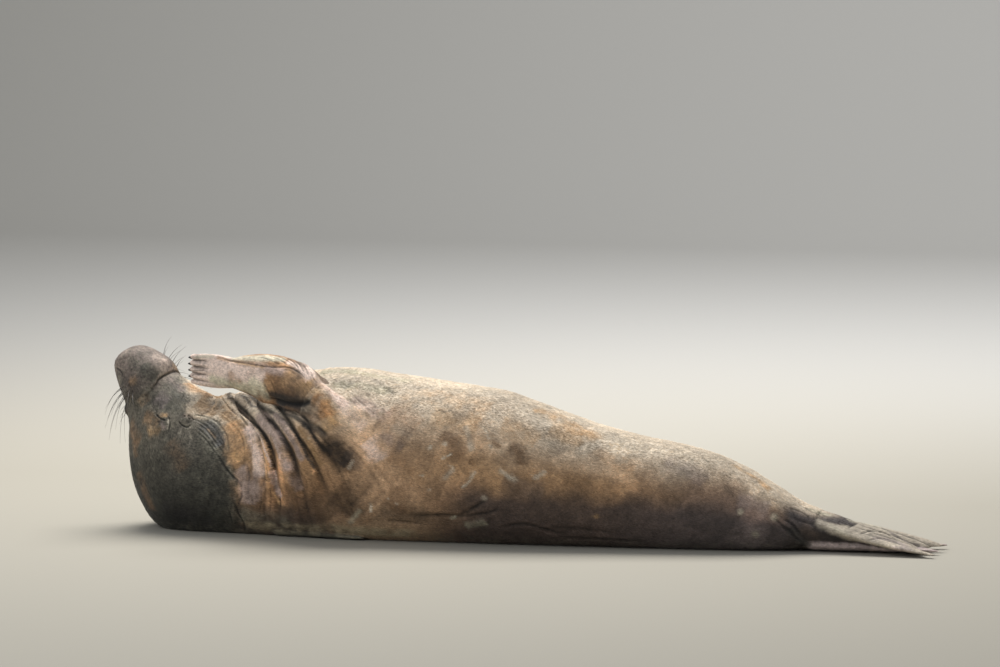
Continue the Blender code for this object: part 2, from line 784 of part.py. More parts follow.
def nail_tools(root, ahead, across, length, half_width, material, group):
    """Dark nails at the ends of the digits."""
    nails = []
    ahead = np.array(ahead) / np.linalg.norm(ahead)
    across = np.array(across) / np.linalg.norm(across)
    for digit in range(DIGIT_COUNT):
        v = -1.0 + (2.0 * digit + 1.0) / DIGIT_COUNT
        reach = length * (0.955 if abs(v) < 0.7 else 0.93)
        start = np.array(root) + ahead * (reach - 0.5 * NAIL_LENGTH) + across * v * half_width
        points = [start, start + ahead * NAIL_LENGTH * 0.5, start + ahead * NAIL_LENGTH]
        radii = (0.0065, 0.0055, 0.0012)
        nails.append(taper(f"nail_{digit}", points, radii, 6, material, group))
    return nails


def build_left_foreflipper(materials, group, tools, seats):
    """The raised flipper: upper arm with elbow, and the hand by the chin."""
    table = np.array(ARM_ROWS)
    places = np.linspace(0.0, len(table) - 1.0, 22)
    rows = spline(table, places)
    rows[-1] = table[-1]
    ups = [np.array((0.25, -0.12, 0.95))] * len(rows)
    arm = tube("left_foreflipper_arm", rows[:, 0:3], ups, rows[:, 3], rows[:, 4], 24,
               materials["flipper"], group)
    cut(arm, [grown_copy(seat, 1.5 * GAP, tools) for seat in seats])
    last = table[-1]
    ahead = rows[-1][0:3] - rows[-2][0:3]
    ahead /= np.linalg.norm(ahead)
    up = np.array((0.25, -0.12, 0.95))
    across = up - ahead * np.dot(up, ahead)
    across /= np.linalg.norm(across)
    root = last[0:3] + ahead * GAP
    verts, faces = paddle(root, ahead, across, HAND_LENGTH, last[3], last[4],
                          HAND_HALF_WIDTH / last[3], -0.02, -0.004, 12, 20)
    hand = mesh_object("left_foreflipper_hand", verts, faces, materials["flipper"], group)
    nails = nail_tools(root, ahead, across, HAND_LENGTH, HAND_HALF_WIDTH, materials["nail"], tools)
    cut(hand, nails, "UNION")
    return arm, hand


def build_right_foreflipper(materials, group, tools, seats):
    """The lower flipper, pressed flat to the ground under the chest."""
    ahead = (0.998, -0.04, 0.0)
    across = (0.04, 0.998, 0.0)
    verts, faces = paddle(LOW_FLIPPER_ROOT, ahead, across, LOW_FLIPPER_LENGTH,
                          LOW_FLIPPER_ROOT_WIDTH, LOW_FLIPPER_HALF_THICKNESS,
                          LOW_FLIPPER_HALF_WIDTH / LOW_FLIPPER_ROOT_WIDTH, -0.02, 0.016, 12, 20)
    flipper = mesh_object("right_foreflipper", verts, faces, materials["flipper"], group)
    settle(flipper)
    cut(flipper, [grown_copy(seat, 1.5 * GAP, tools) for seat in seats])
    return flipper


def build_hind(materials, group, tools):
    """Two hind flippers laid one over the other, and the short tail."""
    flippers = []
    for name, y, z, splay, droop, power, roll in HIND_FLIPPERS:
        verts, faces = paddle((ANKLE_X + GAP, y, z), (1.0, 0.0, 0.0), (0.0, 1.0, 0.0),
                              HIND_LENGTH, HIND_ROOT_HALF_WIDTH, HIND_HALF_THICKNESS,
                              HIND_HALF_WIDTH / HIND_ROOT_HALF_WIDTH, 0.20, droop, 13, 20,
                              power, roll)
        splayed = []
        for vert in verts:
            out = max(vert[0] - ANKLE_X - GAP, 0.0)
            splayed.append((vert[0], vert[1] + splay * out, vert[2]))
        flipper = mesh_object(name, splayed, faces, materials["flipper"], group)
        settle(flipper)
        flippers.append(flipper)
    upper, lower = flippers
    cut(upper, [grown_copy(lower, 1.5 * GAP, tools)])
    points = []
    radii = []
    for part in (0.0, 0.15, 0.4, 0.7, 0.92, 1.0):
        out = TAIL_LENGTH * part
        bend = TAIL_LENGTH * max(part - 0.15, 0.0)
        points.append((ANKLE_X + GAP + out, TAIL_ROOT[0] + 0.35 * bend, TAIL_ROOT[1] - 0.25 * bend))
        radii.append(TAIL_RADIUS * math.sqrt(max(1.0 - part ** 3, 0.04)))
    taper("tail", points, radii, 12, materials["skin"], group)


def centre_on_floor(group):
    """Put the middle of the whole animal's box over the origin."""
    corners = []
    for body in group.objects:
        corners += [vert.co.copy() for vert in body.data.vertices]
    x = 0.5 * (min(c.x for c in corners) + max(c.x for c in corners))
    y = 0.5 * (min(c.y for c in corners) + max(c.y for c in corners))
    low = min(c.z for c in corners)
    for body in group.objects:
        for vert in body.data.vertices:
            vert.co -= Vector((x, y, low))


def main():
    """Build the whole animal."""
    clear_scene()
    group = new_collection("elephant_seal")
    tools = new_collection("cutters")
    materials = {
        "skin": make_material("skin", (0.33, 0.24, 0.16), 0.75),
        "flipper": make_material("flipper", (0.36, 0.28, 0.24), 0.65),
        "eye": make_material("eye", (0.02, 0.015, 0.01), 0.08),
        "nail": make_material("nail", (0.03, 0.03, 0.035), 0.35),
    }
    build_head(materials, group, tools)
    neck, shoulders, chest = build_trunk(materials, group)
    build_left_foreflipper(materials, group, tools, (shoulders, chest))
    build_right_foreflipper(materials, group, tools, (neck, shoulders, chest))
    build_hind(materials, group, tools)
    centre_on_floor(group)


main()
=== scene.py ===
# %% [markdown]
# # A resting elephant seal
# A young male elephant seal lies on its right side with its belly to us. Its nose points at the sky and
# its left foreflipper scratches its chin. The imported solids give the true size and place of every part.
# This lesson grows one fine skin over them, wrinkles it, paints it, and covers it in short fur. The box
# they fill is kept, so that the finished animal can be compared with it at the end.

import json
import math

import bmesh
import bpy
import numpy as np
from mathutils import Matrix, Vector
from mathutils.bvhtree import BVHTree

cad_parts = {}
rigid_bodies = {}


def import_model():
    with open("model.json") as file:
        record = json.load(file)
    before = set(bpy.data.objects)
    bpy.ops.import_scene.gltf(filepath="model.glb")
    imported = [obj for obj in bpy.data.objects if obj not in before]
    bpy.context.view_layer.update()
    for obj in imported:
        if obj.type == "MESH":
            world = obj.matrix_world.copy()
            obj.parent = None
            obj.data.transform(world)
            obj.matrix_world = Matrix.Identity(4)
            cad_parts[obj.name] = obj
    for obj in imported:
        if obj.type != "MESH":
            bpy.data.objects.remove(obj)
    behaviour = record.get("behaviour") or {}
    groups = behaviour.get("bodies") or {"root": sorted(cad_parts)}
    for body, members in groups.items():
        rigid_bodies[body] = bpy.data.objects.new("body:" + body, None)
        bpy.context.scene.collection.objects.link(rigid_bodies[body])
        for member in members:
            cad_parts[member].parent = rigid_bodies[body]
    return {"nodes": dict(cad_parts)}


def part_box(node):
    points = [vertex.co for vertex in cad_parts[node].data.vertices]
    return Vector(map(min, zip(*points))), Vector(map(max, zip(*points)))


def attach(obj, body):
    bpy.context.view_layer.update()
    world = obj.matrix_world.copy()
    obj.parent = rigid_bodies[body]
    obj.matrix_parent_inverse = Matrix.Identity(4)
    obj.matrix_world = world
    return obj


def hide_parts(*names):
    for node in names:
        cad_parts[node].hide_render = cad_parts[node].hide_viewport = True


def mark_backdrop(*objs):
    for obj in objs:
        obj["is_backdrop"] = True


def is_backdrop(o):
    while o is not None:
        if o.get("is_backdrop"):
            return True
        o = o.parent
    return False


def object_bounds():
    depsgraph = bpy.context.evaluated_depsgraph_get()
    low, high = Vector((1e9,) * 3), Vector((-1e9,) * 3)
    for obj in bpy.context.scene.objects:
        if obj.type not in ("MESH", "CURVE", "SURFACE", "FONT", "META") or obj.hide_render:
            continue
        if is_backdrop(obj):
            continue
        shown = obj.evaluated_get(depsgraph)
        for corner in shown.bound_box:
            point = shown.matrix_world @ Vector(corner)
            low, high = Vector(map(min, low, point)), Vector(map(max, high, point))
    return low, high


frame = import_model()
CAD_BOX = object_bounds()
print("solids:", len(frame["nodes"]), "box", [round(v, 3) for v in (*CAD_BOX[0], *CAD_BOX[1])])

# %% [markdown]
# ## The camera
# The photo was taken from far off with a long lens, a little above the animal and turned 16 degrees
# towards its tail. A camera can be placed by eye, but here one value is measured, the metres in a pixel,
# and the lens follows from it. The same numbers give the ray through any pixel of the picture, which
# later puts a crease or a scar where the photo shows it, on the skin itself.

# %% Camera, and the ray through a pixel
ANKLE_X = 1.343
VIEW_AZIMUTH = math.radians(16.0)
VIEW_ELEVATION = math.radians(5.5)
VIEW_DISTANCE = 20.0
AIM_HEIGHT = 0.842
PIXEL_SIZE = 0.0041
PICTURE_WIDTH = 1000
PICTURE_HEIGHT = 667
SENSOR = 36.0

hips_low, hips_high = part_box("hips")
SHIFT = np.array((hips_high.x - ANKLE_X, 0.5 * (hips_low.y + hips_high.y), 0.0))
VIEW_BACK = np.array((
    math.sin(VIEW_AZIMUTH) * math.cos(VIEW_ELEVATION),
    -math.cos(VIEW_AZIMUTH) * math.cos(VIEW_ELEVATION),
    math.sin(VIEW_ELEVATION),
))
VIEW_RIGHT = np.array((math.cos(VIEW_AZIMUTH), math.sin(VIEW_AZIMUTH), 0.0))
VIEW_UP = np.cross(VIEW_BACK, VIEW_RIGHT)
AIM = SHIFT + np.array((0.0, 0.0, AIM_HEIGHT))
EYE_POINT = AIM + VIEW_BACK * VIEW_DISTANCE


def pixel_ray(pixel):
    """Where the ray through a pixel of the photo starts, and its direction."""
    right = (pixel[0] - 0.5 * PICTURE_WIDTH) * PIXEL_SIZE
    up = (0.5 * PICTURE_HEIGHT - pixel[1]) * PIXEL_SIZE
    direction = AIM + VIEW_RIGHT * right + VIEW_UP * up - EYE_POINT
    return Vector(EYE_POINT), Vector(direction).normalized()


def set_down(name, data):
    """Put something new into the scene."""
    item = bpy.data.objects.new(name, data)
    bpy.context.scene.collection.objects.link(item)
    return item


camera_data = bpy.data.cameras.new("camera")
camera_data.sensor_width = SENSOR
camera_data.lens = SENSOR / (PIXEL_SIZE * PICTURE_WIDTH) * VIEW_DISTANCE
camera = set_down("camera", camera_data)
camera.location = EYE_POINT
camera.rotation_euler = Vector(-VIEW_BACK).to_track_quat("-Z", "Y").to_euler()
bpy.context.scene.camera = camera
print("lens", round(camera_data.lens, 1), "mm, shift", [round(float(v), 4) for v in SHIFT])

# %% [markdown]
# ## The shape tables
# The solids were lofted through rings from the nose tip to the ankle. The skin repeats the same rings,
# so it lies on the solids, but it reads them much more finely. Each head ring is given by its distance
# behind the nose tip, its shift across and its half height. Each body ring has an upper and a lower
# point and half its depth.

# %% Tables of rings
NOSE_TIP = (-1.586, 0.752)
HEAD_LEAN = math.radians(26.0)
HEAD_ROWS = (
    (0.000, -0.027, 0.001), (0.004, -0.027, 0.032), (0.013, -0.027, 0.056), (0.030, -0.026, 0.078),
    (0.068, -0.017, 0.100), (0.115, -0.005, 0.119), (0.172, 0.000, 0.129), (0.213, 0.008, 0.138),
    (0.250, 0.016, 0.151), (0.300, 0.018, 0.175), (0.352, 0.019, 0.202),
)
HEAD_DEPTH_RATIO = 1.02
BODY_ROWS = (
    (-1.190, 0.521, -1.590, 0.265, 0.222), (-1.180, 0.526, -1.574, 0.180, 0.236),
    (-1.168, 0.531, -1.540, 0.095, 0.250), (-1.152, 0.536, -1.486, 0.020, 0.262),
    (-1.133, 0.540, -1.415, -0.025, 0.274), (-1.108, 0.543, -1.325, -0.040, 0.286),
    (-1.075, 0.544, -1.222, -0.045, 0.296), (-1.035, 0.546, -1.115, -0.045, 0.308),
    (-0.985, 0.560, -1.015, -0.045, 0.325), (-0.910, 0.612, -0.917, -0.045, 0.350),
    (-0.798, 0.664, -0.798, -0.045, 0.376), (-0.640, 0.676, -0.640, -0.045, 0.392),
    (-0.427, 0.656, -0.427, -0.045, 0.394), (-0.213, 0.634, -0.213, -0.042, 0.384),
    (0.000, 0.604, 0.000, -0.040, 0.366), (0.136, 0.563, 0.136, -0.036, 0.350),
    (0.256, 0.523, 0.256, -0.032, 0.334), (0.431, 0.470, 0.431, -0.028, 0.308),
    (0.597, 0.436, 0.597, -0.026, 0.284), (0.738, 0.412, 0.738, -0.024, 0.262),
    (0.879, 0.379, 0.879, -0.022, 0.238), (1.019, 0.325, 1.019, -0.018, 0.206),
    (1.110, 0.279, 1.110, -0.012, 0.180), (1.180, 0.240, 1.180, -0.006, 0.156),
    (1.240, 0.205, 1.240, 0.000, 0.134), (1.292, 0.180, 1.292, 0.006, 0.120),
    (1.343, 0.162, 1.343, 0.010, 0.112),
)
HEAD_MIDDLE_Y = -0.030
BODY_MIDDLE_Y = 0.000
BODY_BELLY_ANGLE = math.radians(82.0)
HEAD_THROAT_ANGLE = math.radians(18.0)
HEAD_COUNT = len(HEAD_ROWS)
BEHIND = np.array([row[0] for row in HEAD_ROWS])
LAST_RING = float(HEAD_COUNT + len(BODY_ROWS) - 1)
print("rings in the tables:", HEAD_COUNT + len(BODY_ROWS))

# %% [markdown]
# ## Small helpers for curves
# A table is only a few numbers. A Catmull-Rom curve passes through all of them and reads them at any
# place between, which keeps the body smooth. The hill and the step are the two shapes that nearly all
# relief on an animal is made from.

# %% Curve, step and hill


def smooth_step(low, high, value):
    """Rise from 0 to 1 between two values."""
    part = np.clip((value - low) / (high - low), 0.0, 1.0)
    return part * part * (3.0 - 2.0 * part)


def bump(value, centre, width):
    """A round hill of height 1."""
    return np.exp(-((value - centre) / width) ** 2)


def spline(table, places):
    """Read a table at fractional rows along a Catmull-Rom curve."""
    places = np.asarray(places, dtype=float)
    last = len(table) - 1
    start = np.clip(np.floor(places).astype(int), 0, last - 1)
    part = (places - start)[..., None]
    before = table[np.maximum(start - 1, 0)]
    first = table[start]
    second = table[start + 1]
    after = table[np.minimum(start + 2, last)]
    return first + 0.5 * part * (
        second - before
        + part * (2.0 * before - 5.0 * first + 4.0 * second - after
                  + part * (3.0 * (first - second) + after - before))
    )


def ring_table():
    """All rings as upper x, z, lower x, z, half depth, middle y."""
    back = np.array((math.sin(HEAD_LEAN), -math.cos(HEAD_LEAN)))
    side = np.array((math.cos(HEAD_LEAN), math.sin(HEAD_LEAN)))
    rows = []
    for behind, offset, half in HEAD_ROWS:
        middle = np.array(NOSE_TIP) + back * behind + side * offset
        upper = middle + side * half
        lower = middle - side * half
        rows.append((*upper, *lower, half * HEAD_DEPTH_RATIO, HEAD_MIDDLE_Y))
    for index, row in enumerate(BODY_ROWS):
        blend = smooth_step(0.0, 10.0, float(index))
        rows.append((*row, HEAD_MIDDLE_Y + (BODY_MIDDLE_Y - HEAD_MIDDLE_Y) * float(blend)))
    return np.array(rows)


RINGS = ring_table()


def behind_tip(place):
    """Distance behind the nose tip, extended past the head's last ring."""
    spacing = BEHIND[-1] - BEHIND[-2]
    extra = np.maximum(place - (HEAD_COUNT - 1), 0.0) * spacing
    return np.interp(place, np.arange(HEAD_COUNT), BEHIND) + extra


def belly_angle(place):
    """Ring angle of the middle of the throat or belly."""
    blend = smooth_step(HEAD_COUNT - 1.0, HEAD_COUNT + 9.0, place)
    return HEAD_THROAT_ANGLE + (BODY_BELLY_ANGLE - HEAD_THROAT_ANGLE) * blend


print("middle of ring 20:", [round(float(v), 3) for v in spline(RINGS, 20.0)])

# %% [markdown]
# ## Relief of the head
# An elephant seal's mouth is a long low line under a heavy upper lip. The lips are full, the whisker
# pads swell at the sides of the nose, and the brows rise over the eyes. These could be sculpted by hand.
# Here each is a hill or a groove at a known distance behind the nose tip and angle from the throat,
# so both sides of the face match and can be tuned with one number.

# %% Mouth, lips, pads and brows
MOUTH_LINE = (
    (0.170, 0.0), (0.172, 20.0), (0.178, 34.0), (0.190, 42.0), (0.202, 56.0), (0.210, 64.0),
    (0.225, 72.0), (0.250, 74.0), (0.280, 70.0), (0.320, 62.0),
)
MOUTH_DEPTH = 0.0085
MOUTH_WIDTH = 0.0042
LIP_FURROW_DEPTH = 0.006
LIP_FURROW_WIDTH = 0.022
JAW_STEP = 0.007
WHISKER_PAD = (0.178, 107.0)
WHISKER_PAD_RISE = 0.010
EYE_PLACE = (0.238, 143.0)
EAR_PLACE = (0.335, 128.0)
NOSTRIL_PLACE = (0.034, 146.0)


def line_distance(behind, angle, radius, line):
    """Distance over the skin from a line of places, the same on both sides."""
    best = np.full(behind.shape, 9.0)
    for (u0, a0), (u1, a1) in zip(line[:-1], line[1:]):
        du = u1 - u0
        dv = math.radians(a1 - a0) * radius
        pu = behind - u0
        pv = (np.abs(angle) - math.radians(a0)) * radius
        along = np.clip((pu * du + pv * dv) / (du * du + dv * dv), 0.0, 1.0)
        best = np.minimum(best, np.hypot(pu - along * du, pv - along * dv))
    return best


def spot_distance(behind, angle, radius, place):
    """Distances behind and around from a place on both sides of the head."""
    return behind - place[0], (np.abs(angle) - math.radians(place[1])) * radius


def head_relief(behind, angle, radius):
    """Raise and sink the head's skin."""
    degrees = np.degrees(np.abs(angle))
    groove = line_distance(behind, angle, radius, tuple(map(tuple, MOUTH_CURVE)))
    fade = 1.0 - smooth_step(0.27, 0.33, behind)
    raised = -LIP_FURROW_DEPTH * np.exp(-(groove / LIP_FURROW_WIDTH) ** 2) * fade
    pressed = 1.0 - 0.72 * smooth_step(0.186, 0.206, behind)
    raised -= MOUTH_DEPTH * np.exp(-(groove / MOUTH_WIDTH) ** 2) * fade * pressed
    lip = np.interp(behind, MOUTH_CURVE[:, 0], MOUTH_CURVE[:, 1], left=-30.0)
    jaw = smooth_step(-3.0, 9.0, lip - degrees)
    raised -= JAW_STEP * jaw * (1.0 - smooth_step(0.24, 0.33, behind))
    pad_u, pad_angle = WHISKER_PAD
    raised += WHISKER_PAD_RISE * bump(behind, pad_u, 0.05) * bump(degrees, pad_angle, 26.0)
    eye_u, eye_angle = EYE_PLACE
    raised += 0.007 * bump(behind, eye_u, 0.035) * bump(degrees, eye_angle, 15.0)
    raised -= 0.012 * bump(behind, eye_u - 0.06, 0.03) * bump(degrees, 180.0, 45.0)
    nostril_u, nostril_v = spot_distance(behind, angle, radius, NOSTRIL_PLACE)
    slit = (nostril_u * 0.8 + nostril_v * 0.6, nostril_v * 0.8 - nostril_u * 0.6)
    raised -= 0.016 * np.exp(-(slit[0] / 0.016) ** 2 - (slit[1] / 0.006) ** 2)
    ear_u, ear_v = spot_distance(behind, angle, radius, EAR_PLACE)
    raised -= 0.012 * np.exp(-(ear_u / 0.006) ** 2 - (ear_v / 0.004) ** 2)
    raised += 0.004 * np.exp(-(np.hypot(ear_u, ear_v) / 0.016) ** 2)
    return raised


MOUTH_CURVE = spline(np.array(MOUTH_LINE), np.linspace(0.0, len(MOUTH_LINE) - 1.0, 28))
print("mouth line points:", len(MOUTH_CURVE))

# %% [markdown]
# ## Relief of the neck and shoulder
# The neck is bent up, so the fat skin on its upper side folds like a bellows. The valleys lie at
# uneven steps and lean with the bend. They are counted from the first one, so that the whole set
# can fan out towards the ground, where it fades. The shoulder muscle swells under the raised flipper.

# %% Neck folds and shoulder muscle
FOLD_START_X = -1.035
FOLD_LEAN = 2.76
FOLD_KNEE_Z = 0.33
FOLD_TOP_WIDTH = 0.055
FOLD_SPREAD = 0.127
FOLD_TOP_Z = 0.540
FOLD_VALLEYS = (
    (0.30, 0.008, 0.10), (0.86, 0.036, 0.21), (2.05, 0.036, 0.24), (3.12, 0.032, 0.22),
    (4.12, 0.020, 0.24),
)
FOLD_CENTRE = 2.0
FOLD_GATHER = 0.37
FOLD_LIFT = 0.045
FOLD_YAW = math.tan(math.radians(16.0))
FOLD_FACING = math.radians(55.0)
SHOULDER_MUSCLES = (
    (-0.745, 0.400, 0.040, 0.115, 0.170),
    (-0.610, 0.500, 0.036, 0.105, 0.120),
)


def fold_count(x, y, z):
    """How many folds a point lies behind the first one."""
    lined_x = x + FOLD_YAW * y
    height = np.maximum(z - FOLD_KNEE_Z, 0.0)
    start = FOLD_START_X - FOLD_LEAN * height ** 2
    width = FOLD_TOP_WIDTH + FOLD_SPREAD * np.maximum(FOLD_TOP_Z - z, 0.0)
    gather = 1.0 - FOLD_GATHER * smooth_step(0.42, 0.54, z)
    return FOLD_CENTRE + ((lined_x - start) / width - FOLD_CENTRE) * gather


def fold_reach(x, y, z, angle, place):
    """How strongly the folds show at a point, from 0 to 1."""
    count = fold_count(x, y, z)
    low = smooth_step(0.0, 0.32, z - FOLD_LIFT * np.maximum(count - 1.0, 0.0))
    side = smooth_step(-0.35, 0.45, np.cos(angle - FOLD_FACING))
    return side * low * smooth_step(8.0, 10.0, place)


def fold_relief(x, y, z, angle, place):
    """Sink the valleys between the neck's folds on its bent side."""
    count = fold_count(x, y, z)
    sunk = np.zeros_like(x)
    for valley, depth, sharpness in FOLD_VALLEYS:
        sunk += depth * bump(count, valley, sharpness)
    return -sunk * fold_reach(x, y, z, angle, place)


def muscle_relief(x, y, z):
    """Swell the near side where the raised flipper's muscle runs down the chest."""
    near = 1.0 - smooth_step(-0.15, 0.05, y)
    swelling = np.zeros_like(x)
    for middle_x, middle_z, rise, along, up in SHOULDER_MUSCLES:
        swelling += rise * bump(x, middle_x, along) * bump(z, middle_z, up)
    return swelling * near


def ring_point(middle, middle_y, up, rise, out):
    """Put one point of a ring in space."""
    return middle[..., 0] + up[..., 0] * rise, middle_y - out, middle[..., 1] + up[..., 1] * rise


def skin_point(place, angle):
    """Points of the skin for ring places and angles (0 up, 90 degrees near)."""
    place = np.asarray(place, dtype=float)
    row = spline(RINGS, place)
    middle = 0.5 * (row[..., 0:2] + row[..., 2:4])
    half_up = 0.5 * (row[..., 0:2] - row[..., 2:4])
    half_height = np.linalg.norm(half_up, axis=-1)
    up = half_up / np.maximum(half_height, 1e-6)[..., None]
    c, s = np.cos(angle), np.sin(angle)
    power = 2.0 + 0.25 * smooth_step(HEAD_COUNT, HEAD_COUNT + 9.0, place)
    size = (np.abs(c) ** power + np.abs(s) ** power) ** (-1.0 / power)
    rise, out = half_height * size * c, row[..., 4] * size * s
    x, y, z = ring_point(middle, row[..., 5], up, rise, out)
    reach = np.maximum(np.hypot(rise, out), 0.01)
    behind = behind_tip(place)
    turn = angle - belly_angle(place)
    turn = (turn + math.pi) % (2.0 * math.pi) - math.pi
    raised = head_relief(behind, turn, np.maximum(reach, 0.02))
    raised *= (1.0 - smooth_step(0.33, 0.40, behind)) * smooth_step(0.0, 0.03, behind)
    raised += fold_relief(x, y, z, angle, place) + muscle_relief(x, y, z)
    grow = 1.0 + raised / reach
    x, y, z = ring_point(middle, row[..., 5], up, rise * grow, out * grow)
    return np.stack((x, y, np.maximum(z, 0.0)), axis=-1) + SHIFT


def head_place(behind, degrees):
    """Ring place and angle of a point given behind the tip and from the throat."""
    place = float(np.interp(behind, BEHIND, np.arange(HEAD_COUNT)))
    if behind > BEHIND[-1]:
        place += (behind - BEHIND[-1]) / (BEHIND[-1] - BEHIND[-2])
    return place, float(belly_angle(np.array(place))) + math.radians(degrees)


def head_frame(behind, degrees):
    """Point on the head with its outward, backward and sideways directions."""
    place, angle = head_place(behind, degrees)
    here = Vector(skin_point(place, angle))
    step_back = Vector(skin_point(place + 0.15, angle)) - here
    step_round = Vector(skin_point(place, angle + 0.08)) - here
    outward = step_round.cross(step_back).normalized()
    row = spline(RINGS, place)
    middle = Vector((0.5 * (row[0] + row[2]), row[5], 0.5 * (row[1] + row[3]))) + Vector(SHIFT)
    if outward.dot(here - middle) < 0.0:
        outward = -outward
    return here, outward, step_back.normalized(), step_round.normalized()


print("skin on the back at mid body:", [round(float(v), 3) for v in skin_point(25.0, 0.0)])

# %% [markdown]
# ## The trunk as a fine net
# The head and trunk are one net of quads, closest at the mouth and over the folds. Each point keeps
# two facts about itself, its ring place and its angle, because paint and fur need them later.
# The ends are closed with a fan, so the net is one closed body.

# %% Net of the head and trunk
TRUNK_STEPS = (
    (1.2, 16), (5.0, 50), (9.8, 120), (13.0, 40), (17.0, 60), (22.8, 170), (LAST_RING, 150),
)
TRUNK_SIDES = 288
POINT_FACTS = ("skin_at", "limb_at")


def net_faces(rows, sides):
    """Faces of a closed net of rings, with a fan at each end."""
    faces = []
    for i in range(rows - 1):
        for j in range(sides):
            k = (j + 1) % sides
            faces.append((i * sides + j, i * sides + k, (i + 1) * sides + k, (i + 1) * sides + j))
    first = rows * sides
    for j in range(sides):
        k = (j + 1) % sides
        faces.append((first, k, j))
        faces.append((first + 1, (rows - 1) * sides + j, (rows - 1) * sides + k))
    return faces


FACT_KEYS = {"FLOAT_VECTOR": "vector", "FLOAT": "value", "FLOAT_COLOR": "color"}


def store_fact(mesh, name, values, kind="FLOAT_VECTOR"):
    """Store one value for each point."""
    layer = mesh.attributes.new(name, kind, "POINT")
    layer.data.foreach_set(FACT_KEYS[kind], np.asarray(values, dtype=np.float32).ravel())


def make_mesh(name, verts, faces, facts):
    """Make a mesh object with outward faces, and note facts at its points."""
    mesh = bpy.data.meshes.new(name)
    mesh.from_pydata(np.asarray(verts).tolist(), [], faces)
    for title, values in facts.items():
        store_fact(mesh, title, values)
    work = bmesh.new()
    work.from_mesh(mesh)
    bmesh.ops.recalc_face_normals(work, faces=work.faces)
    if work.calc_volume(signed=True) < 0.0:
        bmesh.ops.reverse_faces(work, faces=work.faces)
    work.to_mesh(mesh)
    work.free()
    return set_down(name, mesh)


def build_trunk():
    """The head and trunk from nose tip to ankle."""
    places = [0.0]
    for last, steps in TRUNK_STEPS:
        places += list(np.linspace(places[-1], last, steps + 1)[1:])
    places = np.array(places)
    angles = np.linspace(0.0, 2.0 * math.pi, TRUNK_SIDES, endpoint=False)
    grid_place = np.repeat(places[:, None], TRUNK_SIDES, axis=1)
    grid_angle = np.repeat(angles[None, :], len(places), axis=0)
    points = skin_point(grid_place, grid_angle).reshape(-1, 3)
    ends = [points[:TRUNK_SIDES].mean(axis=0), points[-TRUNK_SIDES:].mean(axis=0)]
    facts = np.stack((grid_place, np.cos(grid_angle), np.sin(grid_angle)), axis=-1).reshape(-1, 3)
    facts = np.vstack((facts, ((0.0, 1.0, 0.0), (LAST_RING, 1.0, 0.0))))
    return make_mesh("trunk", np.vstack((points, ends)), net_faces(len(places), TRUNK_SIDES),
                     {"skin_at": facts, "limb_at": np.zeros_like(facts)})


trunk = build_trunk()
print("trunk net:", len(trunk.data.polygons), "faces")

# %% [markdown]
# ## The flippers as fine nets
# A foreflipper has an arm that grows out of the shoulder and a hand of five joined digits. The arm is a
# tube of ovals. The hand and the hind flippers are flat paddles: two faces that meet at their rim, with
# a ridge for each digit and a notch between the tips. Each net runs a little way into what it grows
# from, so that the pieces can be melted together in the next step.

# %% Arm tube and flipper paddles
ARM_ROWS = (
    (-0.620, -0.190, 0.370, 0.100, 0.090), (-0.668, -0.240, 0.450, 0.086, 0.104),
    (-0.720, -0.248, 0.524, 0.099, 0.108), (-0.770, -0.246, 0.596, 0.104, 0.100),
    (-0.840, -0.238, 0.640, 0.098, 0.082), (-0.920, -0.234, 0.660, 0.094, 0.066),
    (-1.005, -0.228, 0.667, 0.082, 0.052), (-1.085, -0.220, 0.670, 0.062, 0.040),
)
ARM_UP = np.array((0.25, -0.12, 0.95))
ARM, HAND, LOW_FLIPPER, LEFT_HIND, RIGHT_HIND, TAIL, LID = range(1, 8)
HAND_LENGTH = 0.190
HAND_HALF_WIDTH = 0.066
DIGIT_COUNT = 5
OVERLAP = 0.03
ARM_ROOT_LEAN = np.array((-0.02, 0.0, 0.08))
BAND_MIDDLE = np.array((-0.635, -0.370, 0.520))
BAND_PLACE = 22.5


def tube_net(name, limb, centres, ups, heights, thicks, sides, place=-1.0):
    """A closed tube of ovals along a path."""
    centres = np.array(centres, dtype=float)
    rows = len(centres)
    turns = np.linspace(0.0, 2.0 * math.pi, sides, endpoint=False)
    points, limb_at, skin_at = [], [], []
    for i in range(rows):
        ahead = centres[min(i + 1, rows - 1)] - centres[max(i - 1, 0)]
        ahead /= np.linalg.norm(ahead)
        up = ups[i] - ahead * np.dot(ups[i], ahead)
        up /= np.linalg.norm(up)
        side = np.cross(ahead, up)
        raised = centres[i] + np.outer(np.cos(turns), up) * heights[i]
        points.append(raised + np.outer(np.sin(turns), side) * thicks[i])
        for turn in turns:
            limb_at.append((limb, i / (rows - 1), math.cos(turn)))
            on_body = (place, math.cos(turn), math.sin(turn))
            skin_at.append(on_body if place > 0.0 else (-1.0, math.sin(turn), 0.0))
    points.append(centres[[0, -1]])
    limb_at += [(limb, 0.0, 0.0), (limb, 1.0, 0.0)]
    skin_at += [(place, 1.0, 0.0)] * 2
    facts = {"limb_at": limb_at, "skin_at": skin_at}
    return make_mesh(name, np.vstack(points), net_faces(rows, sides), facts)


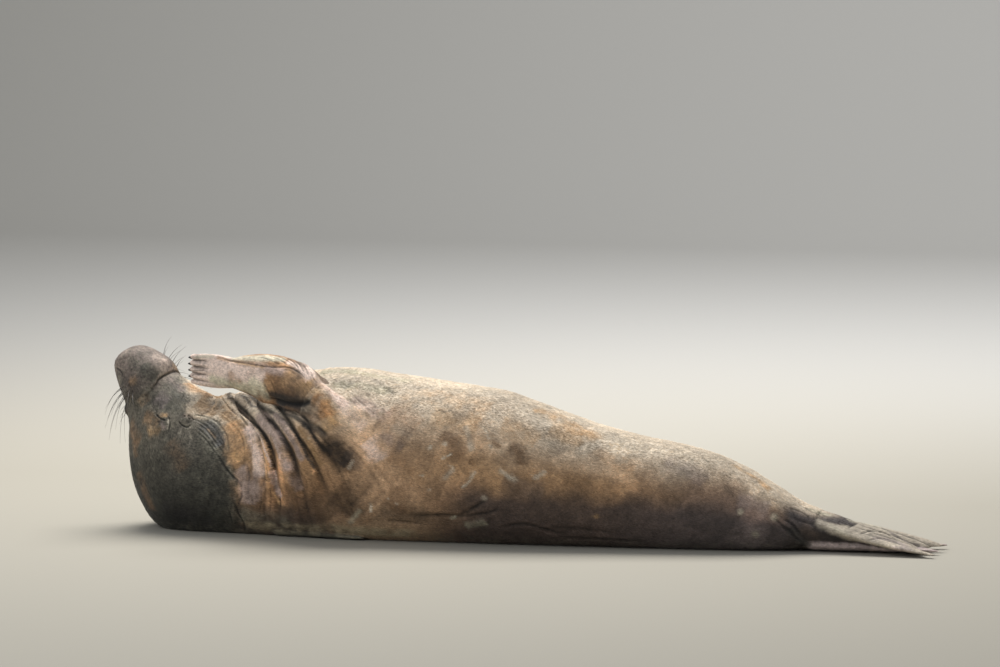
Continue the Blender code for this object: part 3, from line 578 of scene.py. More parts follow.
def paddle_net(name, limb, shape, rows=110, columns=110):
    """A flipper: oval root, raised digits and a lobed end."""
    ahead = np.array(shape["ahead"]) / np.linalg.norm(shape["ahead"])
    across = np.array(shape["across"]) / np.linalg.norm(shape["across"])
    normal = np.cross(ahead, across)
    grid = (np.linspace(0.0, 1.0, rows + 1), np.linspace(-1.0, 1.0, columns + 1))
    u, v = np.meshgrid(*grid, indexing="ij")
    digit = 0.5 * (1.0 + np.cos(DIGIT_COUNT * math.pi * (v + 1.0) + math.pi))
    edge = np.abs(v)
    off_digit = np.mod((v + 1.0) * 0.5 * DIGIT_COUNT, 1.0) * 2.0 - 1.0
    round_tip = np.sqrt(np.maximum(1.0 - off_digit ** 2, 0.0))
    reach = 1.0 - shape["long_edges"] * (1.0 - edge ** 1.6) - shape["notch"] * (1.0 - round_tip)
    widen = shape["half_width"] / shape["root_half_width"]
    width = shape["root_half_width"] * (1.0 + (widen - 1.0) * np.sin(0.5 * math.pi * u) ** 1.3)
    width *= 1.0 + shape["fan"] * np.sin(math.pi * u)
    along = shape["length"] * u * (1.0 + (reach - 1.0) * u)
    ribs = 1.0 - shape["web"] * (1.0 - digit ** 0.7) * smooth_step(*shape["web_from"], u)
    thick = shape["half_thickness"] * (1.0 - shape["thin"] * u ** 0.8)
    thick = thick * np.sqrt(np.maximum(1.0 - edge ** 2, 0.0))
    thick = thick * np.sqrt(np.maximum(1.0 - u ** 9, 0.0)) * ribs
    lean = math.radians(shape["roll"]) * np.sin(0.85 * math.pi * u)
    sideways = across * np.cos(lean)[..., None] + normal * np.sin(lean)[..., None]
    outward = normal * np.cos(lean)[..., None] - across * np.sin(lean)[..., None]
    middle = np.array(shape["root"]) + ahead * along[..., None] + sideways * (v * width)[..., None]
    middle[..., 2] -= shape["droop"] * u ** shape["droop_power"]
    middle[..., 1] += shape["splay"] * along
    faces_out = (middle + outward * thick[..., None], middle - outward * thick[..., None])
    points = np.vstack([side.reshape(-1, 3) for side in faces_out])
    points[:, 2] = np.maximum(points[:, 2], 0.0)
    limb_at = np.stack((np.full(u.size, float(limb)), u.ravel(), v.ravel()), axis=-1)
    limb_at = np.tile(limb_at, (2, 1))
    side_of = np.repeat((1.0, -1.0), u.size)
    skin_at = np.stack((np.full(2 * u.size, -1.0), side_of, np.zeros(2 * u.size)), axis=-1)
    stride = columns + 1
    faces = []
    for i in range(rows):
        for j in range(columns):
            a = i * stride + j
            quad = (a, a + 1, a + stride + 1, a + stride)
            faces.append(quad)
            faces.append(tuple(u.size + corner for corner in reversed(quad)))
    faces.append(list(range(stride))[::-1] + [u.size + j for j in range(1, columns)])
    net = make_mesh(name, points, faces, {"limb_at": limb_at, "skin_at": skin_at})
    work = bmesh.new()
    work.from_mesh(net.data)
    bmesh.ops.remove_doubles(work, verts=work.verts, dist=0.00001)
    work.to_mesh(net.data)
    work.free()
    return net


FORE_SHARED = {"long_edges": -0.02, "roll": 0.0, "droop_power": 1.2, "splay": 0.0, "fan": 0.0}


def build_arm_and_hand():
    """The raised left foreflipper."""
    table = np.array(ARM_ROWS)
    table[:, 0:3] += SHIFT
    rows = spline(table, np.linspace(0.0, len(table) - 1.0, 100))
    ups = [ARM_UP] * len(rows)
    arm = tube_net("arm", ARM, rows[:, 0:3], ups, rows[:, 3], rows[:, 4], 96)
    ahead = rows[-1][0:3] - rows[-5][0:3]
    ahead /= np.linalg.norm(ahead)
    across = ARM_UP - ahead * np.dot(ARM_UP, ahead)
    shape = FORE_SHARED | {
        "root": rows[-1][0:3] - ahead * OVERLAP, "ahead": ahead, "across": across, "fan": 0.10,
        "length": HAND_LENGTH + OVERLAP, "root_half_width": rows[-1][3], "notch": 0.105,
        "half_width": HAND_HALF_WIDTH, "half_thickness": rows[-1][4], "web": 0.55, "thin": 0.55,
        "web_from": (0.45, 0.95), "droop": -0.004,
    }
    return arm, paddle_net("hand", HAND, shape, 130, 130), shape


arm, hand, HAND_SHAPE = build_arm_and_hand()
BAND_ROWS = np.array((
    (-0.755, -0.248, 0.595, 0.062), (-0.700, -0.272, 0.552, 0.092), (-0.655, -0.288, 0.495, 0.098),
    (-0.620, -0.288, 0.425, 0.090), (-0.595, -0.275, 0.350, 0.060),
))
band_rows = spline(BAND_ROWS, np.linspace(0.0, len(BAND_ROWS) - 1.0, 50))
band_at, band_size = band_rows[:, 0:3] + SHIFT, band_rows[:, 3]
band = tube_net("muscle_band", 0, band_at, [ARM_UP] * 50, band_size, band_size, 64, BAND_PLACE)
LOW_SHAPE = FORE_SHARED | {
    "root": SHIFT + np.array((-0.90, -0.190, 0.026)), "ahead": (0.998, -0.04, 0.0),
    "across": (0.04, 0.998, 0.0), "length": 0.40, "root_half_width": 0.055, "half_width": 0.070,
    "half_thickness": 0.030, "notch": 0.06, "web": 0.4, "web_from": (0.3, 0.9), "thin": 0.62,
    "droop": 0.016,
}
low_flipper = paddle_net("low_flipper", LOW_FLIPPER, LOW_SHAPE)
HIND_SHARED = {
    "ahead": (1.0, 0.0, 0.0), "across": (0.0, 1.0, 0.0), "length": 0.525 + OVERLAP, "thin": 0.62,
    "root_half_width": 0.092, "half_width": 0.105, "half_thickness": 0.037, "long_edges": 0.20,
    "notch": 0.055, "web": 0.30, "web_from": (0.15, 0.75), "fan": 0.0,
}
LEFT_SHAPE = HIND_SHARED | {"root": SHIFT + np.array((ANKLE_X - OVERLAP, -0.008, 0.120)),
                            "splay": -0.05, "droop": 0.100, "droop_power": 0.95, "roll": 9.0}
RIGHT_SHAPE = HIND_SHARED | {"root": SHIFT + np.array((ANKLE_X - OVERLAP, -0.012, 0.041)),
                             "splay": 0.14, "droop": 0.024, "droop_power": 0.7, "roll": 0.0}
left_hind = paddle_net("left_hind", LEFT_HIND, LEFT_SHAPE)
right_hind = paddle_net("right_hind", RIGHT_HIND, RIGHT_SHAPE)

TAIL_LENGTH = 0.090
TAIL_ROOT = np.array((ANKLE_X - OVERLAP, 0.096, 0.086))
TAIL_RUN = np.array((OVERLAP + TAIL_LENGTH, 0.03, -0.02))
STRAIGHT_UP = np.array((0.0, 0.0, 1.0))
tail_parts = np.linspace(0.0, 1.0, 24)
tail_points = [SHIFT + TAIL_ROOT + TAIL_RUN * part for part in tail_parts]
tail_radii = 0.017 * np.sqrt(np.maximum(1.0 - tail_parts ** 3, 0.004))
tail = tube_net("tail_net", TAIL, tail_points, [STRAIGHT_UP] * 24, tail_radii, tail_radii, 32)
FAIRING_LENGTH = 0.200
FAIRING_BACK = 0.060
run = np.linspace(0.0, 1.0, 40)
fairing_points = SHIFT + np.stack((
    ANKLE_X - FAIRING_BACK + (FAIRING_BACK + FAIRING_LENGTH) * run, 0.008 - 0.012 * run,
    0.088 - 0.030 * run ** 1.3,
), axis=1)
shrink = np.sqrt(np.maximum(1.0 - run ** 5, 0.003))
fairing = tube_net("fairing", 0, fairing_points, [STRAIGHT_UP] * 40, (0.082 - 0.036 * run) * shrink,
                   (0.118 - 0.022 * run) * shrink, 64, LAST_RING)
flipper_nets = (arm, hand, low_flipper, left_hind, right_hind, tail)
print("flipper nets:", [len(item.data.polygons) for item in flipper_nets])

# %% [markdown]
# ## Lids round the eyes
# A seal's lids are soft rolls with a dark rim. Each is a short bent tube that lies on the head over and
# under the eyeball. They join the head's skin when everything is melted into one.

# %% Eyelids
EYE_RADIUS = 0.024


def lid_nets(side):
    """Upper and lower lid as bent, tapered rolls around one eye."""
    here, outward, back, around = head_frame(EYE_PLACE[0], side * EYE_PLACE[1])
    around = around * side
    lids = []
    for name, sign, reach in (("upper", 1.0, 0.0165), ("lower", -1.0, 0.0135)):
        points = []
        radii = []
        for along in np.linspace(-1.0, 1.0, 25):
            arch = math.cos(along * math.pi * 0.5)
            place = here + back * (along * EYE_RADIUS * 1.2) + around * (sign * reach * arch)
            points.append(tuple(place + outward * (0.0035 * arch - 0.0045)))
            radii.append(0.0030 + 0.0040 * arch)
        ups = [np.array(outward)] * len(points)
        lids.append(tube_net(f"{name}_lid_{side}", LID, points, ups, radii, radii, 16))
    return lids


lids = [lid for side in (1.0, -1.0) for lid in lid_nets(side)]
print("lids:", len(lids))

# %% [markdown]
# ## One skin without seams
# Overlapping bodies can be joined with a Boolean, which leaves a sharp line where they meet. A voxel
# remesh melts them instead, and the line can then be smoothed away as flesh would. Its cells are all of
# one size, while the face needs finer ones than the flank. So the space round the head is first blown up
# to twice its size, remeshed, and shrunk back.

# %% Melt the nets together
VOXEL = 0.0052
FACE_FOCUS = SHIFT + np.array((-1.50, -0.03, 0.60))
FACE_REACH = 0.27
FACE_ZOOM = 2.0


def read_rows(rows, key, kind=np.float32):
    """Vectors stored in a row of mesh data."""
    values = np.empty(len(rows) * 3, dtype=kind)
    rows.foreach_get(key, values)
    return values.reshape(-1, 3).astype(float)


def read_points(mesh):
    """All points of a mesh as rows of x, y, z."""
    return read_rows(mesh.vertices, "co", float)


def write_points(mesh, points):
    """Move all points of a mesh."""
    mesh.vertices.foreach_set("co", np.asarray(points, dtype=np.float32).ravel())
    mesh.update()


def zoom_face(points, back=False):
    """Blow up the space round the face, or shrink it back."""
    away = points - FACE_FOCUS
    reach = np.maximum(np.linalg.norm(away, axis=1), 1e-9)
    grown = FACE_REACH * (FACE_ZOOM - 1.0)
    if back:
        new_reach = np.where(reach < FACE_REACH * FACE_ZOOM, reach / FACE_ZOOM, reach - grown)
    else:
        new_reach = np.where(reach < FACE_REACH, reach * FACE_ZOOM, reach + grown)
    return FACE_FOCUS + away * (new_reach / reach)[:, None]


def evaluated_mesh(item):
    """The mesh an object shows, with its modifiers applied."""
    bpy.context.view_layer.update()
    shown = item.evaluated_get(bpy.context.evaluated_depsgraph_get())
    return bpy.data.meshes.new_from_object(shown)


def drop(*items):
    """Delete objects."""
    for item in items:
        bpy.data.objects.remove(item, do_unlink=True)


def join_nets(items, name):
    """Put several nets into one mesh object."""
    joined = items[0]
    with bpy.context.temp_override(active_object=joined, selected_editable_objects=list(items)):
        bpy.ops.object.join()
    joined.name = name
    return joined


def remesh(item, voxel):
    """A new object with the melted surface of one."""
    change = item.modifiers.new("melt", "REMESH")
    change.mode = "VOXEL"
    change.voxel_size = voxel
    melted = set_down("melted", evaluated_mesh(item))
    item.modifiers.remove(change)
    return melted


source = join_nets([trunk, fairing, band, *flipper_nets, *lids], "source")
write_points(source.data, zoom_face(read_points(source.data)))
skin = remesh(source, VOXEL)
print("melted skin:", len(skin.data.vertices), "points")

# %% [markdown]
# ## Carry the facts over
# The remesh forgets which ring and angle each point had. A small Geometry Nodes tree brings the facts
# back: for each point of the new skin it finds the nearest place on the old nets and copies what is
# stored there. The same tree brings the coordinates of the coat to the thinned skin later.

# %% Copy facts from the nearest surface


def new_tree(name, kind, inputs, outputs):
    """A node tree with named sockets, and its start and end."""
    tree = bpy.data.node_groups.new(name, kind)
    for way, sockets in (("INPUT", inputs), ("OUTPUT", outputs)):
        for title, socket_kind in sockets:
            tree.interface.new_socket(title, in_out=way, socket_type="NodeSocket" + socket_kind)
    return tree, tree.nodes.new("NodeGroupInput").outputs, tree.nodes.new("NodeGroupOutput").inputs


def fill_inputs(tree, node, inputs):
    """Feed a node's inputs from sockets or plain values."""
    for name, value in inputs.items():
        if isinstance(value, bpy.types.NodeSocket):
            tree.links.new(value, node.inputs[name])
        else:
            node.inputs[name].default_value = value


def add_node(tree, kind, inputs, output=0, **settings):
    """Add a node, choose its settings, feed its inputs and give back one of its outputs."""
    node = tree.nodes.new(kind)
    for name, value in settings.items():
        setattr(node, name, value)
    fill_inputs(tree, node, inputs)
    return node.outputs[output]


def stored(tree, name, kind="FLOAT_VECTOR"):
    """Read a fact that is stored at the points."""
    given = {"Name": name}
    return add_node(tree, "GeometryNodeInputNamedAttribute", given, "Attribute", data_type=kind)


def keep_fact(tree, here, name, value, kind="FLOAT_VECTOR", domain="POINT"):
    """Store a fact under a name."""
    given = {"Geometry": here, "Name": name, "Value": value}
    return add_node(tree, "GeometryNodeStoreNamedAttribute", given, data_type=kind, domain=domain)


def carry_tree(names, kind="FLOAT_VECTOR"):
    """A tree that copies stored facts from the nearest surface of another object."""
    tree, start, end = new_tree(
        "carry_facts", "GeometryNodeTree", (("Geometry", "Geometry"), ("From", "Object")),
        (("Geometry", "Geometry"),))
    other = add_node(tree, "GeometryNodeObjectInfo", {"Object": start["From"]}, "Geometry")
    here = start["Geometry"]
    for name in names:
        given = {"Mesh": other, "Value": stored(tree, name, kind)}
        near = add_node(tree, "GeometryNodeSampleNearestSurface", given, data_type=kind)
        here = keep_fact(tree, here, name, near, kind)
    tree.links.new(here, end["Geometry"])
    return tree


def set_input(change, name, value):
    """Set a Geometry Nodes input by its socket's identifier."""
    for socket in change.node_group.interface.items_tree:
        if socket.item_type == "SOCKET" and socket.in_out == "INPUT" and socket.name == name:
            change[socket.identifier] = value
            return
    raise KeyError(name)


def run_nodes(item, tree, inputs):
    """Run a Geometry Nodes tree on an object and keep the result as its mesh."""
    change = item.modifiers.new("nodes", "NODES")
    change.node_group = tree
    for name, value in inputs.items():
        set_input(change, name, value)
    item.data = evaluated_mesh(item)
    item.modifiers.remove(change)


run_nodes(skin, carry_tree(POINT_FACTS), {"From": source})
drop(source)
write_points(skin.data, zoom_face(read_points(skin.data), back=True))
skin_at, limb_at = [read_rows(skin.data.attributes[name].data, "vector") for name in POINT_FACTS]
limb = np.rint(limb_at[:, 0]).astype(int)
print("points on each part:", {int(k): int((limb == k).sum()) for k in np.unique(limb)})

# %% [markdown]
# ## Smooth where limbs join
# The melted skin still has a sharp line round the root of each flipper. How near a point lies to such a
# line is found by blurring a mask of the limbs over the mesh. Only points near a line are then drawn
# towards their neighbours, so that digits and folds stay crisp.

# %% Blur over the mesh, and soften the joins


class Neighbours:
    """Who is joined to whom, for averaging values over a mesh."""

    def __init__(self, mesh):
        ends = np.empty(len(mesh.edges) * 2, dtype=np.int64)
        mesh.edges.foreach_get("vertices", ends)
        self.first, self.second = ends.reshape(-1, 2).T
        self.count = len(mesh.vertices)
        self.degree = np.bincount(ends, minlength=self.count).astype(float)

    def mean(self, values):
        """Mean of each point's neighbours, for one column of values."""
        total = np.bincount(self.first, weights=values[self.second], minlength=self.count)
        total += np.bincount(self.second, weights=values[self.first], minlength=self.count)
        return total / np.maximum(self.degree, 1.0)

    def blur(self, values, times):
        """Average one column over the mesh, again and again."""
        for _ in range(times):
            values = 0.5 * values + 0.5 * self.mean(values)
        return values

    def relax(self, points, weight, times):
        """Draw points towards their neighbours, as much as the weight says."""
        for _ in range(times):
            centre = np.stack([self.mean(points[:, axis]) for axis in range(3)], axis=1)
            points = points + (centre - points) * (0.7 * weight)[:, None]
        return points


def seam_share(mask, times):
    """How near each point lies to the edge of a part: 1 on it and 0 far off."""
    part = neighbours.blur(mask.astype(float), times)
    return np.clip(4.0 * part * (1.0 - part), 0.0, 1.0)


neighbours = Neighbours(skin.data)
points = read_points(skin.data)
blur_times = max(2, int(round((0.030 / VOXEL) ** 2)))
join = seam_share(np.isin(limb, (ARM, LOW_FLIPPER, LEFT_HIND, RIGHT_HIND, TAIL, HAND)), blur_times)
hand_root = (limb_at[:, 1] < 0.5) | ((limb == ARM) & (limb_at[:, 1] > 0.8))
wrist = np.where(hand_root, seam_share(limb == HAND, blur_times), 0.0)
points = neighbours.relax(points, np.maximum(join, wrist), blur_times)
from_root = np.linalg.norm(points - np.array(ARM_ROWS[0][0:3]) - SHIFT - ARM_ROOT_LEAN, axis=1)
arm_join = seam_share(limb == ARM, 3 * blur_times) * (1.0 - smooth_step(0.16, 0.30, from_root))
points = neighbours.relax(points, arm_join, 3 * blur_times)
from_band = np.linalg.norm(points - SHIFT - BAND_MIDDLE, axis=1)
points = neighbours.relax(points, 0.9 * (1.0 - smooth_step(0.12, 0.24, from_band)), blur_times)
points[:, 2] = np.maximum(points[:, 2], 0.0)
write_points(skin.data, points)
print("softened points:", int((np.maximum(join, wrist) > 0.1).sum()))

# %% [markdown]
# ## Noise and strokes
# Skin needs two kinds of detail. Noise gives what is alike everywhere, such as shallow lumps. A table of
# random numbers on a lattice, blended smoothly, gives the same noise on every run. Strokes give what is
# in one place only. Each is a line of photo pixels, written x,y x,y like the points of a polyline in a
# drawing. Their rays are followed to the skin, so a crease lands where the photo shows it, in true size.
# Where the line jumps from one fold to another, the long step between them is left out.

# %% Noise on a lattice, and strokes through photo pixels
NOISE_CELLS = 64
LONGEST_STEP = 0.04


def cell_noise(at, size, seed):
    """Smooth noise from -1 to 1 with lumps of one size."""
    table = np.random.default_rng(seed).uniform(-1.0, 1.0, (NOISE_CELLS,) * 3)
    scaled = at / size
    low = np.floor(scaled).astype(np.int64)
    part = scaled - low
    part = part * part * (3.0 - 2.0 * part)
    value = np.zeros(len(at))
    for corner in range(8):
        step = np.array((corner & 1, (corner >> 1) & 1, (corner >> 2) & 1))
        cell = (low + step) % NOISE_CELLS
        share = np.prod(np.where(step, part, 1.0 - part), axis=1)
        value += share * table[cell[:, 0], cell[:, 1], cell[:, 2]]
    return value


def rough_noise(at, size, seed, layers=3):
    """Noise with finer and weaker layers on top."""
    value = np.zeros(len(at))
    for layer in range(layers):
        value += cell_noise(at, size / 2.1 ** layer, seed + layer) * 0.55 ** layer
    return value


class StrokeBook:
    """Finds the skin under a line of photo pixels, and how near every point lies to it."""

    def __init__(self, mesh, at):
        corners = [tuple(face.vertices) for face in mesh.polygons]
        self.tree = BVHTree.FromPolygons(at.tolist(), corners)
        self.at = at

    def places(self, text, spacing=1.2):
        """Places on the skin along a smooth line through pixels, written as x,y x,y and so on."""
        line = np.array([pair.split(",") for pair in text.split()], dtype=float)
        if len(line) > 1:
            steps = np.hypot(*np.diff(line, axis=0).T)
            count = max(2, int(steps.sum() / spacing))
            line = spline(line, np.linspace(0.0, len(line) - 1.0, count + 1))
        found = []
        for pixel in line:
            hit = self.tree.ray_cast(*pixel_ray(pixel))[0]
            if hit is not None:
                found.append(tuple(hit))
        return np.array(found).reshape(-1, 3)

    def near(self, line, reach):
        """Points near a line of places: their numbers, distances and share along the line."""
        if len(line) == 0:
            return np.array([], dtype=int), np.array([]), np.array([])
        low, high = line.min(axis=0) - reach, line.max(axis=0) + reach
        who = np.nonzero(np.all((self.at > low) & (self.at < high), axis=1))[0]
        best = np.full(len(who), 9.0)
        along = np.zeros(len(who))
        here = self.at[who]
        last = max(len(line) - 1, 1)
        for index in range(last):
            start = line[index]
            span = line[min(index + 1, len(line) - 1)] - start
            size = float(span @ span)
            if size > LONGEST_STEP ** 2:
                continue
            part = np.zeros(len(who))
            if size > 1e-12:
                part = np.clip((here - start) @ span / size, 0.0, 1.0)
            far = np.linalg.norm(here - start - part[:, None] * span, axis=1)
            closer = far < best
            best[closer] = far[closer]
            along[closer] = (index + part[closer]) / last
        keep = best < reach
        return who[keep], best[keep], along[keep]

    def weight(self, text, width, ends=0.25):
        """How much each near point belongs to a stroke that thins out at its ends."""
        who, far, along = self.near(self.places(text), 2.6 * width)
        taper = np.ones(len(who))
        if " " in text and ends > 0.0:
            taper = smooth_step(0.0, ends, along) * smooth_step(0.0, ends, 1.0 - along)
        return who, np.exp(-(far / width) ** 2) * taper


book = StrokeBook(skin.data, points)
print("mouth corner on the skin:", book.places("160,417").round(3).tolist())

# %% [markdown]
# ## Creases, wrinkles and lumps
# Each stroke has a depth and a width in millimetres. A crease in soft skin has a rounded lip on each
# side, so the stroke also lifts the skin a little beside the groove. Fine parallel wrinkles could each
# be drawn by hand. Where there are many, they are made from noise stretched along the folds instead. The
# last table holds low broad lumps, with a height and a width.

# %% Carve the strokes
NOSE_NOTCH = (
    ("113.6,367 117,368.4 121,372 123,377", 4.5, 5),
)
MOUTH_CORNER = (
    ("155,413 158.5,416.8 162,419.2 166,420.4", 4.4, 3.6),
    ("169,416.5 170,424 168,432", 2.5, 2.6),
)
THROAT_MARK = (
    ("178.4,420.6 181,424 184.5,426.2 188,426.4 191.2,423.6", 4.6, 3.8),
    ("184.8,416.3", 3.5, 3.4),
    ("188.5,415.5", 3.5, 3.2),
    ("189.4,419.2", 3, 3.2),
    ("191.6,417.6 194,420", 2.5, 3),
)
THROAT_WRINKLES = (
    ("190,413.5 205,416 218.5,423.5 227,437 229,453", 2.2, 5),
    ("193.5,418.5 205,424.5 216.5,437.5 226.5,450", 1.9, 3.6),
    ("195,421.5 205.5,429 216,442.5 225,455", 2.2, 3.4),
    ("194,425 206,435 214.5,446.5 221.5,456.5", 2.2, 3.4),
    ("193,428.5 204,437.5 210.5,446 217.5,455 223.5,466 231,476", 2.8, 3.8),
    ("203,419.5 213.5,427 222,440 226,449", 1.6, 3.2),
    ("219,455 225,466.5 232,476 240,484 241,496 237,507", 4.3, 5.5),
    ("233,500 237,512 242.5,522 246,533", 3.7, 5),
    ("226,505 230,515 233,526", 1.9, 4),
)
NECK_WRINKLES = (
    ("236,409 243,419 250,430 254.5,441 257.5,455", 2.9, 4.4),
    ("244,416 251,424.5 257,434 262,445", 2.3, 4),
    ("240,419 247,431 251,443 253.5,458", 2, 4),
    ("255,437 261,452 266,468 268,480", 2.6, 4.4),
    ("268.5,452 276,470 279.5,488 280.5,512", 3.6, 4.8),
    ("260,477 269,482.5 279,488.5", 1.6, 3.5),
    ("261,482 261,497 259.5,512", 2.3, 4.4),
    ("270.5,487 270.5,499 269.5,513", 2.3, 4.4),
    ("246,462 248.5,476 247.5,492 250,508", 2, 5.1),
    ("285,452 291,466 294,480", 1.6, 4.8),
    ("300,470 305,480 308,492", 2, 6.6),
    ("277,406 290,411 304,418 318,427 331,437", 5.2, 8.8),
    ("305,418.5 316,431 325,441 335,449", 2.6, 7.7),
)
ARM_WRINKLES = (
    ("214,354.8 228,360 248,363.4 270,367 287,367.4 299,372.4 309,380", 2.4, 4.2),
    ("260,357 271,360.5 281,365.5", 1.8, 3.2),
    ("268,355.5 280,360 289,366", 1.8, 3.2),
    ("277,356 287,360.5 296,367.5", 1.8, 3.2),
    ("285,357 293,362 300,370", 2.1, 3.2),
    ("293,359 299,365 305,374", 2.1, 3.2),
    ("299,361.5 304.5,368.5 309,377.5", 2.1, 3.2),
    ("304.5,365 309.5,373 314,382", 1.8, 3.2),
    ("264,383 268,391 271,397", 1.8, 4),
    ("270,379 274,388 277,396", 1.5, 4),
    ("266,396 280,401 292,403.4 304,403 314,398.5", 10, 9),
    ("282,369.5 290,370.5 298,376", 1.2, 4),
)
BELLY_CREASES = (
    ("404,514 422,515.5 440,515 458,515 472,508.5 483,501.5 493,496.5", 4.2, 10.5),
    ("448,519.5 470,515 490,512 499,507", 3.2, 8.4),
    ("497,529 511,524.5 527,524 541,528 556,532 575,531.5", 3.8, 9.8),
    ("536,531 560,528 590,529.5 620,533", 3, 12.6),
    ("560,537 600,538.5 650,541", 3, 11.2),
    ("385,520 402,521.5 420,524", 3, 9.8),
    ("348,507 360,497 372,484", 2.2, 14),
    ("360,515 374,503 386,488", 1.9, 12.6),
)
REAR_CREASES = (
    ("772,517 783,525 796,534", 2.8, 6),
    ("783,518 793,525 801,535", 3.1, 6),
    ("779,524.5 790,532 800,541", 3.1, 6.6),
    ("792,517 803,521.5 815,524.5", 2.4, 6),
    ("788,507 801,512 812,519", 2.1, 6),
    ("797,503 808,510 820,515", 1.8, 6),
    ("848,528 862,522 878,524", 2.1, 6),
    ("857,535 872,531 888,535 899,541", 2.8, 6),
    ("866,541 882,538.5 900,543.5", 2.1, 5.4),
    ("852,520.5 868,520.5 884,528.5", 1.8, 5.4),
)
LUMPS = (
    ("232,401 244,402 256,403 268,405", 30, 50),
    ("204,399 214,403 226,404 238,402", 30, 44),
    ("304,366 316,380 329,393 344,404 360,413", 9, 24),
    ("316,396 324,411 330,426 336,440", 10, 34),
    ("285,411 300,417 314,424", 9, 22),
    ("186.5,419.5", 6, 17),
    ("163.5,427", 4, 14),
    ("128.5,383 133,380", 5, 22),
    ("170,395 182,398", 4, 40),
    ("309,437 315,446", 3, 16),
    ("470,523 484,520", 4, 14),
    ("372,508 366,517", 5, 22),
    ("740,512", 4, 12),
    ("774,517", 4, 12),
)
CREASE_SETS = (NOSE_NOTCH, MOUTH_CORNER, THROAT_MARK, THROAT_WRINKLES, NECK_WRINKLES, ARM_WRINKLES,
               BELLY_CREASES, REAR_CREASES)
LIP_SHARE = 0.22
MILLIMETRE = 0.001

raised = np.zeros(len(points))
crease = np.zeros(len(points))
for group in CREASE_SETS:
    for pixels, depth, width in group:
        wide = width * MILLIMETRE
        who, far, along = book.near(book.places(pixels), 4.0 * wide)
        taper = 1.0
        if " " in pixels:
            taper = smooth_step(0.0, 0.22, along) * smooth_step(0.0, 0.22, 1.0 - along)
        groove = np.exp(-(far / wide) ** 2) * taper
        lips = np.exp(-((far - 1.9 * wide) / wide) ** 2) * taper
        raised[who] += (LIP_SHARE * lips - groove) * depth * MILLIMETRE
        crease[who] = np.maximum(crease[who], groove * min(1.0, depth / 6.0))
for pixels, height, width in LUMPS:
    who, weight = book.weight(pixels, width * MILLIMETRE, ends=0.0)
    raised[who] += weight * height * MILLIMETRE
print("creases:", sum(len(group) for group in CREASE_SETS))
print("deepest:", round(float(raised.min()) * 1000, 1), "mm")

# %% [markdown]
# ## Lumps from noise
# Blubber hangs in soft lumps of a hand's width, with smaller ones on top. The neck between the folds
# gets fine wrinkles that run along them. The face and the flippers get less of both. What lies on the
# ground stays flat.

# %% Add the noise and move the skin
NOISE_SEED = 11
place = skin_at[:, 0]
on_trunk = place >= 0.0
head_share = np.where(on_trunk, 1.0 - smooth_step(9.0, 14.0, place), 0.0)
flipper_share = np.where(on_trunk, 0.0, 1.0)
lying = 1.0 - smooth_step(0.004, 0.030, points[:, 2])
lump_share = np.clip(1.0 - 0.65 * head_share - 0.8 * flipper_share, 0.0, 1.0)
raised += 0.0042 * lump_share * cell_noise(points, 0.26, NOISE_SEED)
raised += 0.0020 * lump_share * cell_noise(points, 0.095, NOISE_SEED + 1)
raised += 0.0007 * rough_noise(points, 0.030, NOISE_SEED + 2)
belt = np.clip(fold_count(*(points - SHIFT).T), -3.0, 8.0)
neck_share = smooth_step(11.0, 14.0, place) * (1.0 - smooth_step(21.5, 24.0, place))
wrinkle_at = np.stack((belt * 0.40, points[:, 1] * 0.3, points[:, 2] * 0.35), axis=1)
raised += 0.0021 * neck_share * rough_noise(wrinkle_at, 0.10, NOISE_SEED + 5, 2)
raised *= 1.0 - lying
points = points + read_rows(skin.data.vertex_normals, "vector") * raised[:, None]
points[:, 2] = np.maximum(points[:, 2], 0.0)
write_points(skin.data, points)
moved = [round(float(value) * 1000, 1) for value in (raised.min(), raised.max())]
print("moved by", moved, "mm")

# %% [markdown]
# ## The coat's colours
# A bull of this kind is tan and brown, paler towards the top and darker towards the ground, partly
# because the coat is damp there and partly as painted shade. Here the head is greenish grey, the neck
# ochre and pink, and the back nearly beige. One way is to paint a
# picture and wrap it on. This way needs no picture. Named colours are mixed at every point of the fine
# skin: first by region, then with noise, and then with strokes that put each mark where the photo has it.

# %% Named colours and the base by region
TOP_BEIGE = np.array((0.560, 0.475, 0.370))
WARM_TAN = np.array((0.395, 0.245, 0.130))
ORANGE_TAN = np.array((0.400, 0.250, 0.122))
BROWN = np.array((0.205, 0.116, 0.058))
UMBER = np.array((0.095, 0.068, 0.052))
BLACKISH = np.array((0.020, 0.018, 0.016))
GREEN_GREY = np.array((0.128, 0.113, 0.087))
DARK_GREEN = np.array((0.052, 0.050, 0.038))
NOSE_GREY = np.array((0.155, 0.122, 0.102))
PINK_GREY = np.array((0.400, 0.310, 0.275))
PALE_PINK = np.array((0.640, 0.510, 0.440))
SAND = np.array((0.470, 0.430, 0.330))
SANDY_GREEN = np.array((0.370, 0.340, 0.250))
GREY_BEIGE = np.array((0.360, 0.310, 0.245))
PURPLE_GREY = np.array((0.235, 0.190, 0.180))
BLUE_GREY = np.array((0.140, 0.150, 0.165))
SCAR = np.array((0.620, 0.550, 0.440))
HEAD_EDGE = np.array((
    (0.0, -1.083), (0.227, -1.113), (0.35, -1.16), (0.415, -1.17), (0.47, -1.205), (0.50, -1.33),
    (0.60, -1.36),
))
PAINT_SEED = 41

